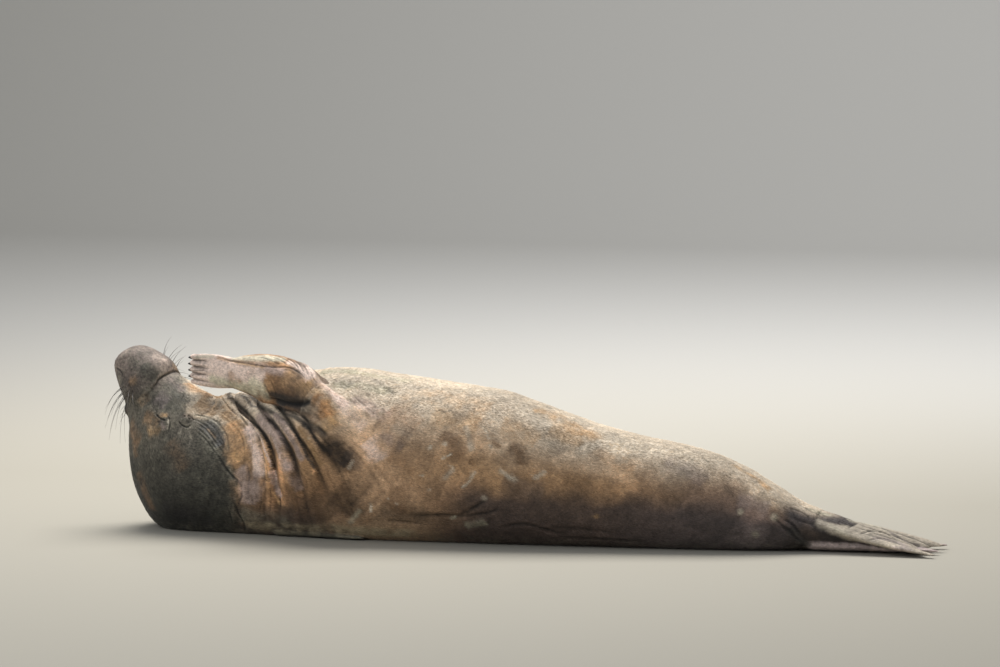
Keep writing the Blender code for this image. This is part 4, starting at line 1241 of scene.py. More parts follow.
own = points - SHIFT
row = spline(RINGS, np.clip(place, 0.0, LAST_RING))
level = np.clip((own[:, 2] - row[:, 3]) / np.maximum(row[:, 1] - row[:, 3], 0.05), 0.0, 1.0)
along = own[:, 0] + FOLD_YAW * own[:, 1]
big = rough_noise(points, 0.30, PAINT_SEED)
middle_noise = rough_noise(points, 0.085, PAINT_SEED + 4)
small = rough_noise(points, 0.028, PAINT_SEED + 8)
fine = cell_noise(points, 0.010, PAINT_SEED + 12)
speck = cell_noise(points, 0.006, PAINT_SEED + 13)
hide = np.zeros((len(points), 3))


def blend(share, colour, who=slice(None)):
    """Mix one colour into the coat, as much as the share says."""
    share = np.clip(share, 0.0, 1.0)[..., None]
    hide[who] = hide[who] * (1.0 - share) + np.asarray(colour) * share


wavy = level + 0.07 * big + 0.035 * middle_noise
blend(np.ones(len(points)), UMBER)
blend(smooth_step(0.02, 0.36, wavy), BROWN)
blend(smooth_step(0.26, 0.62, wavy) * 0.85, WARM_TAN)
blend(smooth_step(0.58, 0.96, wavy), TOP_BEIGE)
breast = bump(along + 0.10 * big, -0.46, 0.20)
blend(breast * smooth_step(0.95, 0.60, wavy) * 0.85, WARM_TAN * (1.22, 1.28, 1.45))
blend(breast * smooth_step(0.42, 0.16, wavy) * 0.75, BROWN * (1.45, 1.8, 2.2))
# Painted shade together with damp coat: the lower side and the rear grow darker towards the ground.
rear = smooth_step(0.35, 1.05, along)
under = smooth_step(-0.34, -0.06, along + 0.06 * big) * smooth_step(0.62, 0.38, wavy)
blend(under * 0.95, UMBER * (0.68, 0.66, 0.70))
blend(rear * smooth_step(0.86, 0.56, wavy) * 0.75, PURPLE_GREY * (0.68, 0.62, 0.60))
blend(rear * smooth_step(0.58, 0.40, wavy) * 0.85, PURPLE_GREY * 0.20)
blend(rear * smooth_step(0.30, 0.12, wavy) * 0.75, PURPLE_GREY * 0.42)
blend(smooth_step(1.14, 1.22, along) * smooth_step(0.98, 0.78, level), PURPLE_GREY * 0.30)
blend(smooth_step(1.16, 1.24, along) * smooth_step(0.66, 0.46, level), UMBER * 0.22)
far_side = smooth_step(-0.02, 0.16, own[:, 1])
edge_at = np.interp(own[:, 2] + 0.03 * middle_noise, HEAD_EDGE[:, 0], HEAD_EDGE[:, 1])
edge_at = (0.015 + 0.055 * far_side) * big + edge_at
edge_width = 0.055 + 0.085 * far_side + 0.045 * smooth_step(0.26, 0.10, own[:, 2])
past_edge = (along - edge_at + 0.030 * small + 0.02 * middle_noise) / edge_width
head = np.where(on_trunk, smooth_step(1.0, -0.85, past_edge), 0.0)
head_height = smooth_step(0.03, 0.52, own[:, 2] + 0.05 * big)
head_tone = DARK_GREEN * 0.55 * (1.0 - head_height[:, None]) + GREEN_GREY * head_height[:, None]
blend(head, head_tone)
nose = np.where(on_trunk, 1.0 - smooth_step(5.2, 7.2, place + 0.5 * middle_noise), 0.0)
blend(nose, NOSE_GREY)
FLIPPER_TONES = (
    (ARM, BROWN * 1.5), (HAND, PALE_PINK), (LOW_FLIPPER, SANDY_GREEN * 0.22), (LEFT_HIND, GREY_BEIGE),
    (RIGHT_HIND, PURPLE_GREY * 1.7), (TAIL, PURPLE_GREY), (LID, GREEN_GREY * 0.5),
)
for number, tone in FLIPPER_TONES:
    times = blur_times if number == HAND else max(2, blur_times // 3)
    share = neighbours.blur((limb == number).astype(float), times)
    if number == ARM:
        share = share * smooth_step(0.42, 0.72, limb_at[:, 1])
    blend(smooth_step(0.10, 0.85, share + 0.12 * small), tone)
print("mean colour of the base:", hide.mean(axis=0).round(3).tolist())

# %% [markdown]
# ## Marks, scars, dust and painted shade
# These strokes carry the photo's own marks, and some paint shade: the dark slits of the mouth corner and
# the throat mark, the dark lines in the neck's fold valleys, the raised flipper's shadow on the fold
# tops, the shadow under the elbow and along the crease below it, and the dark hollow at the hips' end.
# Each is a line of pixels with a width in millimetres, a colour and a strength. Noise frays the edge of
# every stroke, so it looks like worn fur and not like paint. The tones are painted shade and painted
# highlight, which only darken or lighten what is there. They, the painted ridge highlights and the scars
# are laid on in the next step, after the painted shade of the hollows.

# %% Strokes of colour
NOSE_MARKS = (
    ("118,362 130,352 146,352 160,360", 40, NOSE_GREY * 1.25, 0.6),
    ("140,366 150,372 158,378", 26, DARK_GREEN, 0.75),
    ("128,362 138,364 148,366", 22, DARK_GREEN * 1.6, 0.45),
    ("117,372 122,384 127,396", 18, DARK_GREEN * 1.5, 0.5),
    ("129,381 137,380", 16, WARM_TAN, 0.65),
    ("154,392 162,382 172,376", 12, NOSE_GREY * 1.2, 0.5),
    ("140,396 146,404", 22, WARM_TAN * 0.8, 0.45),
    ("172,364 180,372", 16, ORANGE_TAN * 0.9, 0.45),
)
CHIN_MARKS = (
    ("156,396 162,400 168,404", 24, PURPLE_GREY * 1.1, 0.75),
    ("172,390 181,396 188,404", 28, DARK_GREEN, 0.85),
    ("166,402 178,408 186,411", 22, DARK_GREEN * 1.3, 0.7),
    ("186,382 197,392 210,402", 26, WARM_TAN * 1.15, 0.9),
    ("196,402 206,409 217,414", 30, ORANGE_TAN * 0.75, 0.75),
    ("212,398 224,409 238,426 244,444", 26, ORANGE_TAN * 0.85, 0.85),
    ("168,378 176,384 184,392", 18, PINK_GREY * 0.75, 0.5),
)
CORNER_MARKS_AND_SHADE = (
    ("160,415 168,415.5", 9, ORANGE_TAN, 0.8),
    ("143,416 152,420 159,424", 22, WARM_TAN * 0.85, 0.65),
    ("147,434 155,430 160,432", 20, ORANGE_TAN * 0.8, 0.6),
    ("130,422 134,434 140,442", 26, BROWN * 1.3, 0.55),
    # Painted shade in the crease of the mouth corner.
    ("155.5,413.8 159,417.3 162.5,419.3 165.5,420", 4.6, BLACKISH * 1.8, 0.75),
    ("161,421 163,426 165,430", 9, PINK_GREY * 0.55, 0.6),
    ("168,418.5 168.2,424 166.8,430", 2.6, SCAR * 0.85, 0.7),
)
THROAT_MARKS_AND_SHADE = (
    ("181,416 187,415 192,419", 9, UMBER, 0.6),
    # Painted shade in the slit of the throat mark.
    ("178.6,420.8 181.5,424.3 185,426.2 188.5,426.2 191,423.6", 4.4, BLACKISH * 1.8, 0.75),
    ("184.8,416.3", 3.6, BLACKISH, 0.9),
    ("188.5,415.5", 3.4, BLACKISH, 0.9),
    ("189.4,419.2", 3.4, BLACKISH, 0.9),
    ("188.9,422.6", 3.2, BLACKISH, 0.8),
    ("192.5,417", 3, BLACKISH, 0.7),
    ("181.4,427 180.2,432 179,437.5", 2, SCAR, 0.75),
    ("187,428 189.6,434 190,441 188.5,447", 2, SCAR * 0.9, 0.65),
    ("192,414.5 205,416.5 218,424 226.5,438 228,452", 7, SANDY_GREEN * 0.75, 0.55),
    ("203,422 214,432 222,446", 24, BLUE_GREY * 0.75, 0.6),
    ("197,432 209,446 219,462", 22, DARK_GREEN * 1.5, 0.6),
    ("206,427 216,438", 7, ORANGE_TAN * 0.7, 0.45),
    ("190,470 205,480 222,492", 60, DARK_GREEN * 1.15, 0.55),
    ("160,505 185,517 215,521", 52, BLACKISH * 1.3, 0.9),
    ("205,506 228,512 240,524", 34, DARK_GREEN * 0.7, 0.7),
    ("137,470 144,492 152,512", 22, BROWN * 0.9, 0.55),
    ("133,440 136,458", 16, BROWN * 1.15, 0.5),
    ("168,440 178,455 186,470", 30, BROWN * 0.75, 0.4),
)
NECK_MARKS_AND_SHADE = (
    ("230,420 236,440 243,462", 30, WARM_TAN * 1.60, 0.9),
    ("232,452 240,460", 14, ORANGE_TAN * 1.45, 0.6),
    ("268,494 282,500 300,505", 26, BROWN * 0.95, 0.5),
    ("272,491 276,498 280,505", 4, ORANGE_TAN * 1.2, 0.8),
    ("333,493.5 338,491", 4.5, ORANGE_TAN * 1.35, 0.85),
    ("308.5,438.5", 7, SCAR, 0.75),
    ("238,514 262,520 292,524", 36, SANDY_GREEN * 0.42, 0.6),
    # Painted shade: dark lines in the valleys between the neck's folds.
    ("223,397 236,407 248,418 262,433 272,452", 6, BLACKISH * 2.2, 0.8),
    ("240,400 254,408 266,418 279,434 289,455", 8, BLACKISH * 2, 0.85),
    ("252,397 270,411 287,424 299,440 308,458 316,471", 9, BLACKISH * 1.6, 0.9),
    ("270,404 290,414 306,426 316,440 326,455", 9, BLACKISH * 1.8, 0.85),
    # Painted shadow of the raised flipper on the tops of the folds.
    ("234,394 247,393 259,396", 10, BLUE_GREY * 0.45, 0.7),
)
ARM_MARKS_AND_SHADE = (
    ("200,366 220,370 240,373 258,377 265,379", 44, PALE_PINK * 1.15, 0.95),
    ("205,379 228,384 248,389 262,393 270,394", 22, SANDY_GREEN * 1.25, 0.9),
    ("248,380 258,386 266,391", 22, SANDY_GREEN * 1.35, 0.8),
    ("194,358 205,356 215,357", 11, SAND * 0.85, 0.65),
    ("216,357 224,359 231,361.5", 9, BROWN * 1.5, 0.7),
    ("229,358 250,358 270,358 288,360", 15, SAND * 1.15, 0.9),
    ("231,361 240,363 256,366 268,368", 5, ORANGE_TAN * 1.1, 0.6),
    ("262,369 276,371 288,375", 16, PINK_GREY * 1.10, 0.8),
    ("272,384 284,388 297,393", 34, BROWN * 1.25, 0.9),
    ("280,376 292,381 303,390 310,400", 30, WARM_TAN * 1.05, 0.75),
    ("286,361 298,367 306,376", 12, PALE_PINK * 1.15, 0.7),
    ("300,362 308,368 314,375", 16, PALE_PINK * 1.05, 0.8),
    ("304,370 314,381 324,389 336,399 352,410", 18, PALE_PINK * 1.10, 0.9),
    ("306,380 316,394 325,412 331,434", 34, ORANGE_TAN * 0.80, 0.9),
    ("322,398 328,412 332,426", 14, ORANGE_TAN * 1.10, 0.7),
    ("267,377 269,386 270,394", 20, WARM_TAN * 1.1, 0.5),
    # Painted shadow under the elbow.
    ("268,393 282,397 297,401 311,401", 14, BLACKISH * 1.6, 0.8),
    ("274,400 290,405 304,405 312,402", 12, BLACKISH * 1.3, 0.9),
    ("285,408 300,413 316,420", 13, BROWN * 1, 0.6),
    # Painted shade along the crease below the arm.
    ("300,424 318,430 330,440", 14, BLACKISH * 1.8, 0.8),
    ("324,440 336,452 350,462", 40, UMBER * 0.55, 0.95),
    ("345,448 356,460 357,472", 24, UMBER, 0.6),
)
DIGIT_MARKS = (
    ("193,360.3 199,360 206,360.4", 2.6, UMBER * 0.8, 0.8),
    ("192,366 198,366 206,366.2", 2.6, UMBER * 0.8, 0.8),
    ("191,371.2 198,370.6 205,370.4", 2.6, UMBER * 0.8, 0.8),
    ("190,375.6 198,374.4 206,374.2", 2.4, UMBER * 0.9, 0.7),
)
CHEST_MARKS = (
    ("318,373 340,371 358,372", 40, SANDY_GREEN * 0.90, 0.85),
    ("350,372 385,377 412,382", 30, SANDY_GREEN * 1.15, 0.6),
    ("330,385 360,386 392,392", 26, SANDY_GREEN * 1, 0.65),
    ("372,378 386,388 396,394", 14, GREEN_GREY * 1.2, 0.45),
    ("350,398 370,408 388,420", 30, PINK_GREY * 1, 0.6),
    ("340,404 352,416 366,428", 20, PALE_PINK * 0.85, 0.45),
    ("366,440 374,450 380,462", 30, PALE_PINK * 0.75, 0.75),
    ("393,424 402,430 412,434", 20, GREY_BEIGE, 0.6),
    ("378,436 392,442 402,450", 22, PURPLE_GREY * 0.9, 0.5),
    ("396,398 430,396 466,402 492,410", 52, ORANGE_TAN * (1.25, 1.35, 1.6), 0.5),
    ("430,414 456,420 480,426", 44, ORANGE_TAN * 1, 0.5),
    ("440,432 452,440 458,452 448,460", 26, BROWN * 0.75, 0.75),
    ("464,424 469,438 472,452", 13, GREY_BEIGE * 0.95, 0.7),
    ("468,460 476,464", 15, BROWN * 0.6, 0.7),
    ("508,446 520,452 522,466", 24, BROWN * 0.65, 0.8),
    ("492,440 500,448", 12, BROWN * 0.8, 0.6),
    ("400,470 420,478 440,480", 30, WARM_TAN * 0.9, 0.5),
    ("395,486 400,500 392,512", 34, BROWN * 0.95, 0.5),
    ("388,455 402,462 412,474", 22, BROWN * 1.1, 0.5),
    ("310,480 330,486 352,494", 40, BROWN * 0.95, 0.5),
    ("330,500 352,510 372,520", 34, BROWN * 0.80, 0.45),
    ("240,524 280,528 330,529 380,532 420,533", 26, SANDY_GREEN * (0.95, 0.85, 0.75), 0.75),
    ("382,497 398,508 416,510", 24, BROWN * 0.8, 0.5),
    ("500,480 520,486 545,490", 30, UMBER * 1.3, 0.5),
)
FLANK_MARKS = (
    ("532,408 552,416 576,428 598,442", 40, ORANGE_TAN * 1.15, 0.75),
    ("548,428 565,436 582,446", 36, ORANGE_TAN * 0.95, 0.6),
    ("500,424 520,430 540,440", 44, ORANGE_TAN * 1.05, 0.45),
    ("600,430 620,440 640,448", 30, GREY_BEIGE * 1.15, 0.45),
    ("590,450 610,462 636,470", 30, WARM_TAN * 0.95, 0.5),
    ("660,462 690,472 706,482", 34, PURPLE_GREY * 0.85, 0.5),
    ("728,462 742,470 758,480 772,492", 17, ORANGE_TAN * 1.2, 0.7),
    ("735,500 752,504 770,510", 30, PURPLE_GREY * 1.15, 0.5),
    ("640,444 668,450 700,462", 16, TOP_BEIGE * 0.9, 0.5),
    ("560,480 590,486 622,490", 34, BROWN * 0.85, 0.35),
)
# Painted highlight on the pale pink ridges of the neck's folds, laid on after the painted shade.
RIDGE_PINK_AND_HIGHLIGHTS = (
    ("238,466 244,478 247,492 250,506", 28, PINK_GREY * 0.85, 0.8),
    ("246,424 250,434 254,448 257,462 258,480", 19, PALE_PINK * 1.25, 0.95),
    ("256,430 261,440 264,449 268,458 272,470", 6, PALE_PINK * 1.05, 0.85),
    ("255,470 256,486 254,502", 22, PINK_GREY * 0.95, 0.75),
    ("254,413 262,421 268,429 274,437 278,446 284,461 289,476", 21, PINK_GREY * 1.05, 0.85),
    ("272,438 276,448 280,460", 7, PALE_PINK * 0.9, 0.7),
    ("271,412 279,421 286,430 294,444 298,454 304,462", 14, PINK_GREY * 0.80, 0.85),
    ("297,426 305,436 311,447 317,458 322,467", 12, ORANGE_TAN * 0.75, 0.8),
    ("250,400 262,408 272,418", 10, PINK_GREY * 0.75, 0.7),
    ("236,404 246,416 254,430", 8, PINK_GREY * 0.80, 0.7),
    ("286,462 293,476 300,492", 20, PINK_GREY * 0.70, 0.65),
    ("270,470 276,486 282,498", 14, PINK_GREY * 0.8, 0.6),
)
REAR_MARKS_AND_SHADE = (
    ("806,508 818,512 832,516", 15, SANDY_GREEN * 1.15, 0.7),
    ("828,524 838,530 850,534", 12, SAND * 0.95, 0.6),
    ("846,520 868,524 890,532", 16, SAND * 0.95, 0.6),
    ("878,526 893,534 908,543 922,545", 7, PURPLE_GREY * 0.45, 0.75),
    ("870,538 890,540 908,548", 16, PURPLE_GREY * 1.2, 0.6),
    ("800,524 812,532 824,540", 18, UMBER * 0.8, 0.6),
    # Painted shade in the crease and hollow at the hips' end, by the ground.
    ("788,528 800,540 812,546", 14, BLACKISH * 1.6, 0.8),
    ("855,548 885,549 915,549", 12, PURPLE_GREY * 0.9, 0.6),
)
SCAR_MARKS = (
    ("441,458.5 446,456.5 451.5,453.5", 2.6, SCAR, 0.85),
    ("449,465.5 452.5,467 454.5,471", 2.6, SCAR, 0.8),
    ("444,480 448,474 453,469", 8, GREY_BEIGE * 1.2, 0.65),
    ("461,488 467,483 472,476 475,470", 4.2, SCAR * 0.85, 0.7),
    ("481.5,426 486,432 488,440", 2.8, SCAR, 0.75),
    ("490,446", 6.5, GREY_BEIGE * 1.3, 0.7),
    ("499,469 505,474 512,479", 6, SCAR * 0.9, 0.7),
    ("514,479", 9, GREY_BEIGE * 1.25, 0.7),
    ("532,478 538,476 546,470", 7, GREY_BEIGE * 1.25, 0.7),
    ("484,498", 9, GREY_BEIGE * 1.2, 0.75),
    ("423,416", 6.5, SCAR * 0.9, 0.7),
    ("429.5,446.5", 5.5, SCAR, 0.75),
    ("444,443.5", 6, SCAR, 0.75),
    ("420,475 424,475.5", 3.2, SCAR, 0.75),
    ("429,487 430,491", 4, SCAR, 0.75),
    ("371,503 371,512", 4, SCAR, 0.8),
    ("396,503.5", 4, SCAR * 0.9, 0.6),
    ("388,498.5", 3.6, SCAR * 0.9, 0.6),
    ("348,470 351,464 353,459", 5.5, GREY_BEIGE * 1.2, 0.6),
    ("348,524 354,517 361,508", 8, SANDY_GREEN, 0.65),
    ("464,526 475,524 487,521", 12, SANDY_GREEN * 0.85, 0.65),
    ("450,519 456,516.5", 5, SANDY_GREEN, 0.7),
    ("740,512", 10, SAND, 0.7),
    ("774,517", 11, SAND * 0.95, 0.7),
    ("755,534", 10, SANDY_GREEN * 0.8, 0.5),
    ("596,516", 7, ORANGE_TAN * 0.8, 0.7),
    ("444,397 452,396.5", 4.5, GREEN_GREY * 0.8, 0.7),
    ("437,410 445,411.5 453,409.5", 3.8, GREEN_GREY * 0.8, 0.65),
    ("544.5,424", 4.5, GREY_BEIGE, 0.7),
)
SCAR_WIDEN = 1.35
PALEST = 0.80
# Painted shade and painted highlight: a factor below 1 darkens the coat where shade falls, one above 1
# makes it paler where light falls.
PAINTED_SHADE_AND_HIGHLIGHT = (
    ("144,394 158,402 170,408", 34, 0.62),
    ("128,372 134,384 140,400", 30, 0.72),
    ("226,399 240,400 256,400 270,402", 34, 0.42),
    ("214,408 232,412 250,416", 30, 0.62),
    ("270,396 288,400 306,402 316,408", 34, 0.60),
    ("296,404 308,414 318,424", 30, 0.55),
    ("324,438 330,446 340,456 350,470", 44, 0.60),
    ("338,484 350,500 342,512", 60, 0.60),
    ("328,498 340,506 352,516", 50, 0.55),
    ("396,440 412,446 436,454", 40, 0.62),
    ("376,508 400,514 430,516 452,518", 28, 0.60),
    ("545,426 552,440 560,456", 50, 0.65),
    ("575,446 590,450 604,456", 40, 0.68),
    ("662,480 672,490 682,504", 60, 0.66),
    ("500,450 512,470 510,498", 50, 0.78),
    ("336,378 352,386", 40, 0.72),
    ("128,448 133,470 139,494 150,514", 34, 0.58),
    ("166,516 190,520", 40, 0.60),
    ("142,412 150,415 157,418", 12, 0.60),
    ("180,414 186,416 192,419", 14, 0.65),
    ("276,380 290,385 304,392", 34, 0.72),
    ("314,396 320,408 326,420", 30, (0.85, 0.70, 0.58)),
    ("386,410 402,420 416,430", 50, (0.85, 0.76, 0.70)),
    ("202,430 210,444 216,458", 26, 1.7),
    ("276,452 279,468 281,486 284,508", 24, 2.3),
    ("262,438 266,456 268,476", 20, 2),
    ("252,436 256,450 258,466", 18, 1.35),
    ("147,428 152,440 150,450", 26, 1.5),
    ("152,352 162,360 168,368 158,376", 24, 1.9),
    ("174,374 184,384", 22, 1.35),
    ("276,366 288,368 300,374 310,384", 16, 1.5),
    ("205,368 222,372 236,372", 22, 1.3),
    ("352,404 358,424 364,446 378,462", 50, 1.55),
    ("300,436 306,444 312,456", 14, 1.5),
    ("264,482 276,494 284,506", 26, 1.35),
    ("444,484 456,490 462,500", 44, 1.5),
    ("462,420 472,436 480,450", 44, 1.35),
    ("600,474 620,480 640,484", 44, 1.35),
    ("730,478 748,484 762,492", 44, 1.35),
    ("736,520 750,530 766,538", 54, 1.9),
    ("230,468 236,484 240,508", 20, 1.6),
    ("870,549 900,549", 14, 1.8),
    ("236,397 250,396 264,398", 24, 0.50),
    ("264,394 280,398 300,401", 26, 0.55),
    ("196,396 208,404 222,408", 24, 0.65),
    ("236,406 246,410 254,414", 16, 0.60),
    ("318,436 330,448 342,460 352,474", 30, 0.65),
    ("306,500 318,510 330,520", 60, 0.60),
    ("376,512 400,518 430,518", 24, 0.70),
    ("126,444 131,458 134,474", 16, 0.55),
    ("140,500 148,512 158,522", 24, 0.60),
    ("284,420 290,428 296,438", 8, 2),
    ("308,456 313,466 314,474", 8, 2.2),
    ("286,452 289,462 291,472", 9, 2),
    ("300,474 302,486 301,498", 9, 2),
    ("262,476 264,490 266,506", 12, 1.9),
    ("275,468 277,480", 9, 1.8),
    ("228,460 229,472 231,484", 8, 2.2),
    ("200,458 206,468 208,476", 16, 1.6),
    ("214,444 218,454 220,464", 10, 1.6),
    ("228,504 234,514 240,522", 16, 1.6),
    ("264,500 272,510 278,520", 22, 1.5),
    ("164,358 170,364", 12, 1.4),
    ("156,374 158,379", 9, 1.6),
    ("196,388 206,396 220,404", 26, 0.70),
    ("188,403 197,409 209,413", 20, 0.70),
)
PAINT_SETS = (NOSE_MARKS, CHIN_MARKS, CORNER_MARKS_AND_SHADE, THROAT_MARKS_AND_SHADE, NECK_MARKS_AND_SHADE, ARM_MARKS_AND_SHADE, DIGIT_MARKS,
              CHEST_MARKS, FLANK_MARKS, REAR_MARKS_AND_SHADE)


def lay_strokes(group, widen=1.0):
    """Blend a set of strokes into the coat."""
    for pixels, width, colour, strength in group:
        wide = width * MILLIMETRE * widen
        broad = smooth_step(0.008, 0.020, wide)
        who, share = book.weight(pixels, wide * (1.0 + 0.35 * broad), ends=0.12)
        fray = 1.0 + 0.50 * np.clip(wide / 0.02, 0.3, 1.0) * small[who] + 0.35 * middle_noise[who]
        share = smooth_step(0.10 - 0.08 * broad, 0.85 + 0.25 * broad, share * fray)
        blend(share * strength, colour, who)


def lay_painted_shade_and_highlight(group):
    """Paint shade and highlight along a set of strokes, making the coat darker or paler."""
    for pixels, width, factor in group:
        who, share = book.weight(pixels, width * MILLIMETRE * 1.3, ends=0.12)
        share = np.clip(share * (1.0 + 0.3 * small[who]), 0.0, 1.0)[:, None]
        hide[who] *= 1.0 + (np.asarray(factor) - 1.0) * share


for group in PAINT_SETS:
    lay_strokes(group)
print("strokes of colour:", sum(len(group) for group in PAINT_SETS))

# %% [markdown]
# ## Grain, painted shade and dust
# The curve of the skin is measured at every point: how far it lies below the mean of its neighbours.
# Blurred a little, this tells hollows from ridges. Hollows and creases are darkened with painted shade,
# and ridges made paler with painted highlight and dust. The valleys between the neck's folds get a
# painted shadow that fades towards the ground. The grain is noise in four sizes. Specks come last,
# greenish on the head and sandy along the ground, with dark dots for the follicles of the whiskers.

# %% Curve of the skin, grain and specks
centre = np.stack([neighbours.mean(points[:, axis]) for axis in range(3)], axis=1)
normals = read_rows(skin.data.vertex_normals, "vector")
hollow = np.einsum("ij,ij->i", centre - points, normals)
spread = max(2, int(round((0.009 / VOXEL) ** 2)))
hollow = neighbours.blur(hollow, spread)
scale = np.percentile(np.abs(hollow[on_trunk]), 97)
hollow = np.clip(hollow / scale, -1.5, 1.5)
# Painted shade in hollows and creases, and painted highlight on ridges.
shade = 1.0 - 0.40 * np.maximum(hollow, 0.0) + 0.20 * np.maximum(-hollow, 0.0)
shade *= 1.0 - 0.40 * np.clip(crease, 0.0, 1.0)
turn = np.arctan2(skin_at[:, 2], skin_at[:, 1])
# Painted shadow in the valleys between the neck's folds, weaker in the first valley and fading towards
# the ground.
valley = np.where(on_trunk, -fold_relief(*own.T, turn, place), 0.0)
first_valley = bump(fold_count(*own.T), FOLD_VALLEYS[0][0], 0.30)
shadow = smooth_step(0.004, 0.030, valley) * smooth_step(0.16, 0.40, own[:, 2])
shadow = shadow * (1.0 - 0.75 * first_valley)
shade *= 1.0 - 0.86 * shadow
grain = 1.0 + 0.13 * big + 0.15 * middle_noise + 0.16 * small + 0.13 * fine
hide *= shade[:, None]
lay_strokes(RIDGE_PINK_AND_HIGHLIGHTS)
hide *= np.clip(grain, 0.35, 1.8)[:, None]
lay_painted_shade_and_highlight(PAINTED_SHADE_AND_HIGHLIGHT)
lay_strokes(SCAR_MARKS, SCAR_WIDEN)
green_specks = smooth_step(0.30, 0.75, speck + 0.35 * small) * head * 0.5
blend(green_specks * smooth_step(0.10, 0.45, own[:, 2]), SANDY_GREEN * 0.55)
low_dust = smooth_step(0.060, 0.010, points[:, 2] + 0.012 * small)
blend(low_dust * smooth_step(-0.1, 0.5, speck + 0.5 * small) * 0.55, SANDY_GREEN * 0.42)
hide = np.maximum(hide, 0.004)
hide *= np.minimum(1.0, PALEST / hide.max(axis=1))[:, None]
FOLLICLES = (
    "130,386.5 132.5,387 129.5,390 132.5,391 135,390.5 130.5,394 133.5,395 136,394.5 132,399 134.8,400 "
    "133.5,404 135.5,405.5 131,402.5"
)
for pixel in FOLLICLES.split():
    who, share = book.weight(pixel, 3.4 * MILLIMETRE, ends=0.0)
    blend(share * 0.85, BLACKISH, who)
damp = np.clip(0.15 + 0.5 * (1.0 - smooth_step(0.02, 0.30, points[:, 2])) + 0.3 * head, 0.0, 1.0)
opaque = np.ones(len(points))
store_fact(skin.data, "hide", np.column_stack((hide, opaque)), "FLOAT_COLOR")
shares = np.stack((damp, np.clip(head, 0.0, 1.0), flipper_share, opaque), axis=1)
store_fact(skin.data, "coat", shares, "FLOAT_COLOR")
print("darkest", hide.min().round(4), "palest", hide.max().round(3))

# %% [markdown]
# ## Thin the skin
# The melted skin has far more faces than the flat flanks need. Decimate takes faces away where the
# surface is flat and keeps them where it bends. The fine skin stays for now, because the coat will grow
# on it.

# %% Fewer faces
SKIN_FACES = 192000


def triangle_count(mesh):
    """How many triangles a mesh has."""
    return sum(len(face.vertices) - 2 for face in mesh.polygons)


fine_skin = skin
skin = set_down("skin", fine_skin.data.copy())
change = skin.modifiers.new("thin", "DECIMATE")
change.ratio = min(1.0, SKIN_FACES / triangle_count(skin.data))
skin.data = evaluated_mesh(skin)
skin.modifiers.remove(change)
print("skin triangles:", triangle_count(skin.data))

# %% [markdown]
# ## Effects shared by the materials
# Both the skin and the fur need the same mottling, so it is one shader group. It takes a colour and
# gives the colour back with grain in three sizes. A second group turns streaks along the hair into a
# height for the bump. Streaks follow the coat because they are read in its own coordinates, metres
# along the body and around it, and not in the axes of the room.

# %% Shader groups


def math_node(tree, kind, first, second):
    """A maths node fed by sockets or numbers."""
    return add_node(tree, "ShaderNodeMath", {0: first, 1: second}, operation=kind)


def vector_node(tree, kind, first, second):
    """A vector maths node fed by sockets or values."""
    key = "Scale" if kind == "SCALE" else 1
    return add_node(tree, "ShaderNodeVectorMath", {0: first, key: second}, operation=kind)


def noise_node(tree, vector, scale, detail, rough=0.55):
    """Noise read at a vector."""
    given = {"Scale": scale, "Detail": detail, "Roughness": rough, "Vector": vector}
    return add_node(tree, "ShaderNodeTexNoise", given, "Fac")


def streak_node(tree, vector, stretch, detail):
    """Noise drawn out into streaks."""
    return noise_node(tree, vector_node(tree, "MULTIPLY", vector, stretch), 1.0, detail)


def ramp_node(tree, value, low, high, to_low, to_high):
    """Map a value from one range to another, without going past it."""
    given = {"Value": value, "From Min": low, "From Max": high, "To Min": to_low, "To Max": to_high}
    return add_node(tree, "ShaderNodeMapRange", given, "Result")


def mottle_group():
    """Grain in three sizes on a colour."""
    group, start, end = new_tree(
        "coat_mottle", "ShaderNodeTree",
        (("Colour", "Color"), ("Place", "Vector"), ("Lay", "Vector"), ("Amount", "Float")),
        (("Colour", "Color"),))
    coarse = noise_node(group, start["Place"], 26.0, 3.0)
    medium = noise_node(group, start["Place"], 85.0, 3.0, 0.65)
    hair = streak_node(group, start["Lay"], (90.0, 330.0, 330.0), 2.0)
    total = ramp_node(group, coarse, 0.30, 0.70, 0.84, 1.16)
    total = math_node(group, "MULTIPLY", total, ramp_node(group, medium, 0.30, 0.70, 0.76, 1.24))
    total = math_node(group, "MULTIPLY", total, ramp_node(group, hair, 0.30, 0.70, 0.72, 1.28))
    total = math_node(group, "SUBTRACT", total, 1.0)
    total = math_node(group, "MULTIPLY", total, start["Amount"])
    total = math_node(group, "ADD", total, 1.0)
    group.links.new(vector_node(group, "SCALE", start["Colour"], total), end["Colour"])
    return group


def pelt_height_group():
    """Height of short hair streaks and of skin grain."""
    group, start, end = new_tree(
        "pelt_height", "ShaderNodeTree",
        (("Place", "Vector"), ("Lay", "Vector")),
        (("Height", "Float"),))
    hair = streak_node(group, start["Lay"], (60.0, 420.0, 420.0), 3.0)
    locks = streak_node(group, start["Lay"], (22.0, 110.0, 110.0), 2.0)
    grain = noise_node(group, start["Place"], 240.0, 3.0)
    total = math_node(group, "MULTIPLY", hair, 0.45)
    total = math_node(group, "ADD", total, math_node(group, "MULTIPLY", locks, 0.75))
    total = math_node(group, "ADD", total, math_node(group, "MULTIPLY", grain, 0.35))
    group.links.new(total, end["Height"])
    return group


MOTTLE = mottle_group()
PELT_HEIGHT = pelt_height_group()
print("groups:", MOTTLE.name, PELT_HEIGHT.name)

# %% [markdown]
# ## Skin, fur, horn and eye
# The skin reads the painted colour from its points. The damp share lowers the roughness, so the
# lower side and the head shine a little where they are wet. The fur has the same colour, with a weaker
# grain and a tint of its own for each tuft. Claws are dark horn. The eye reads how far round from the
# pupil each point lies.

# %% Materials


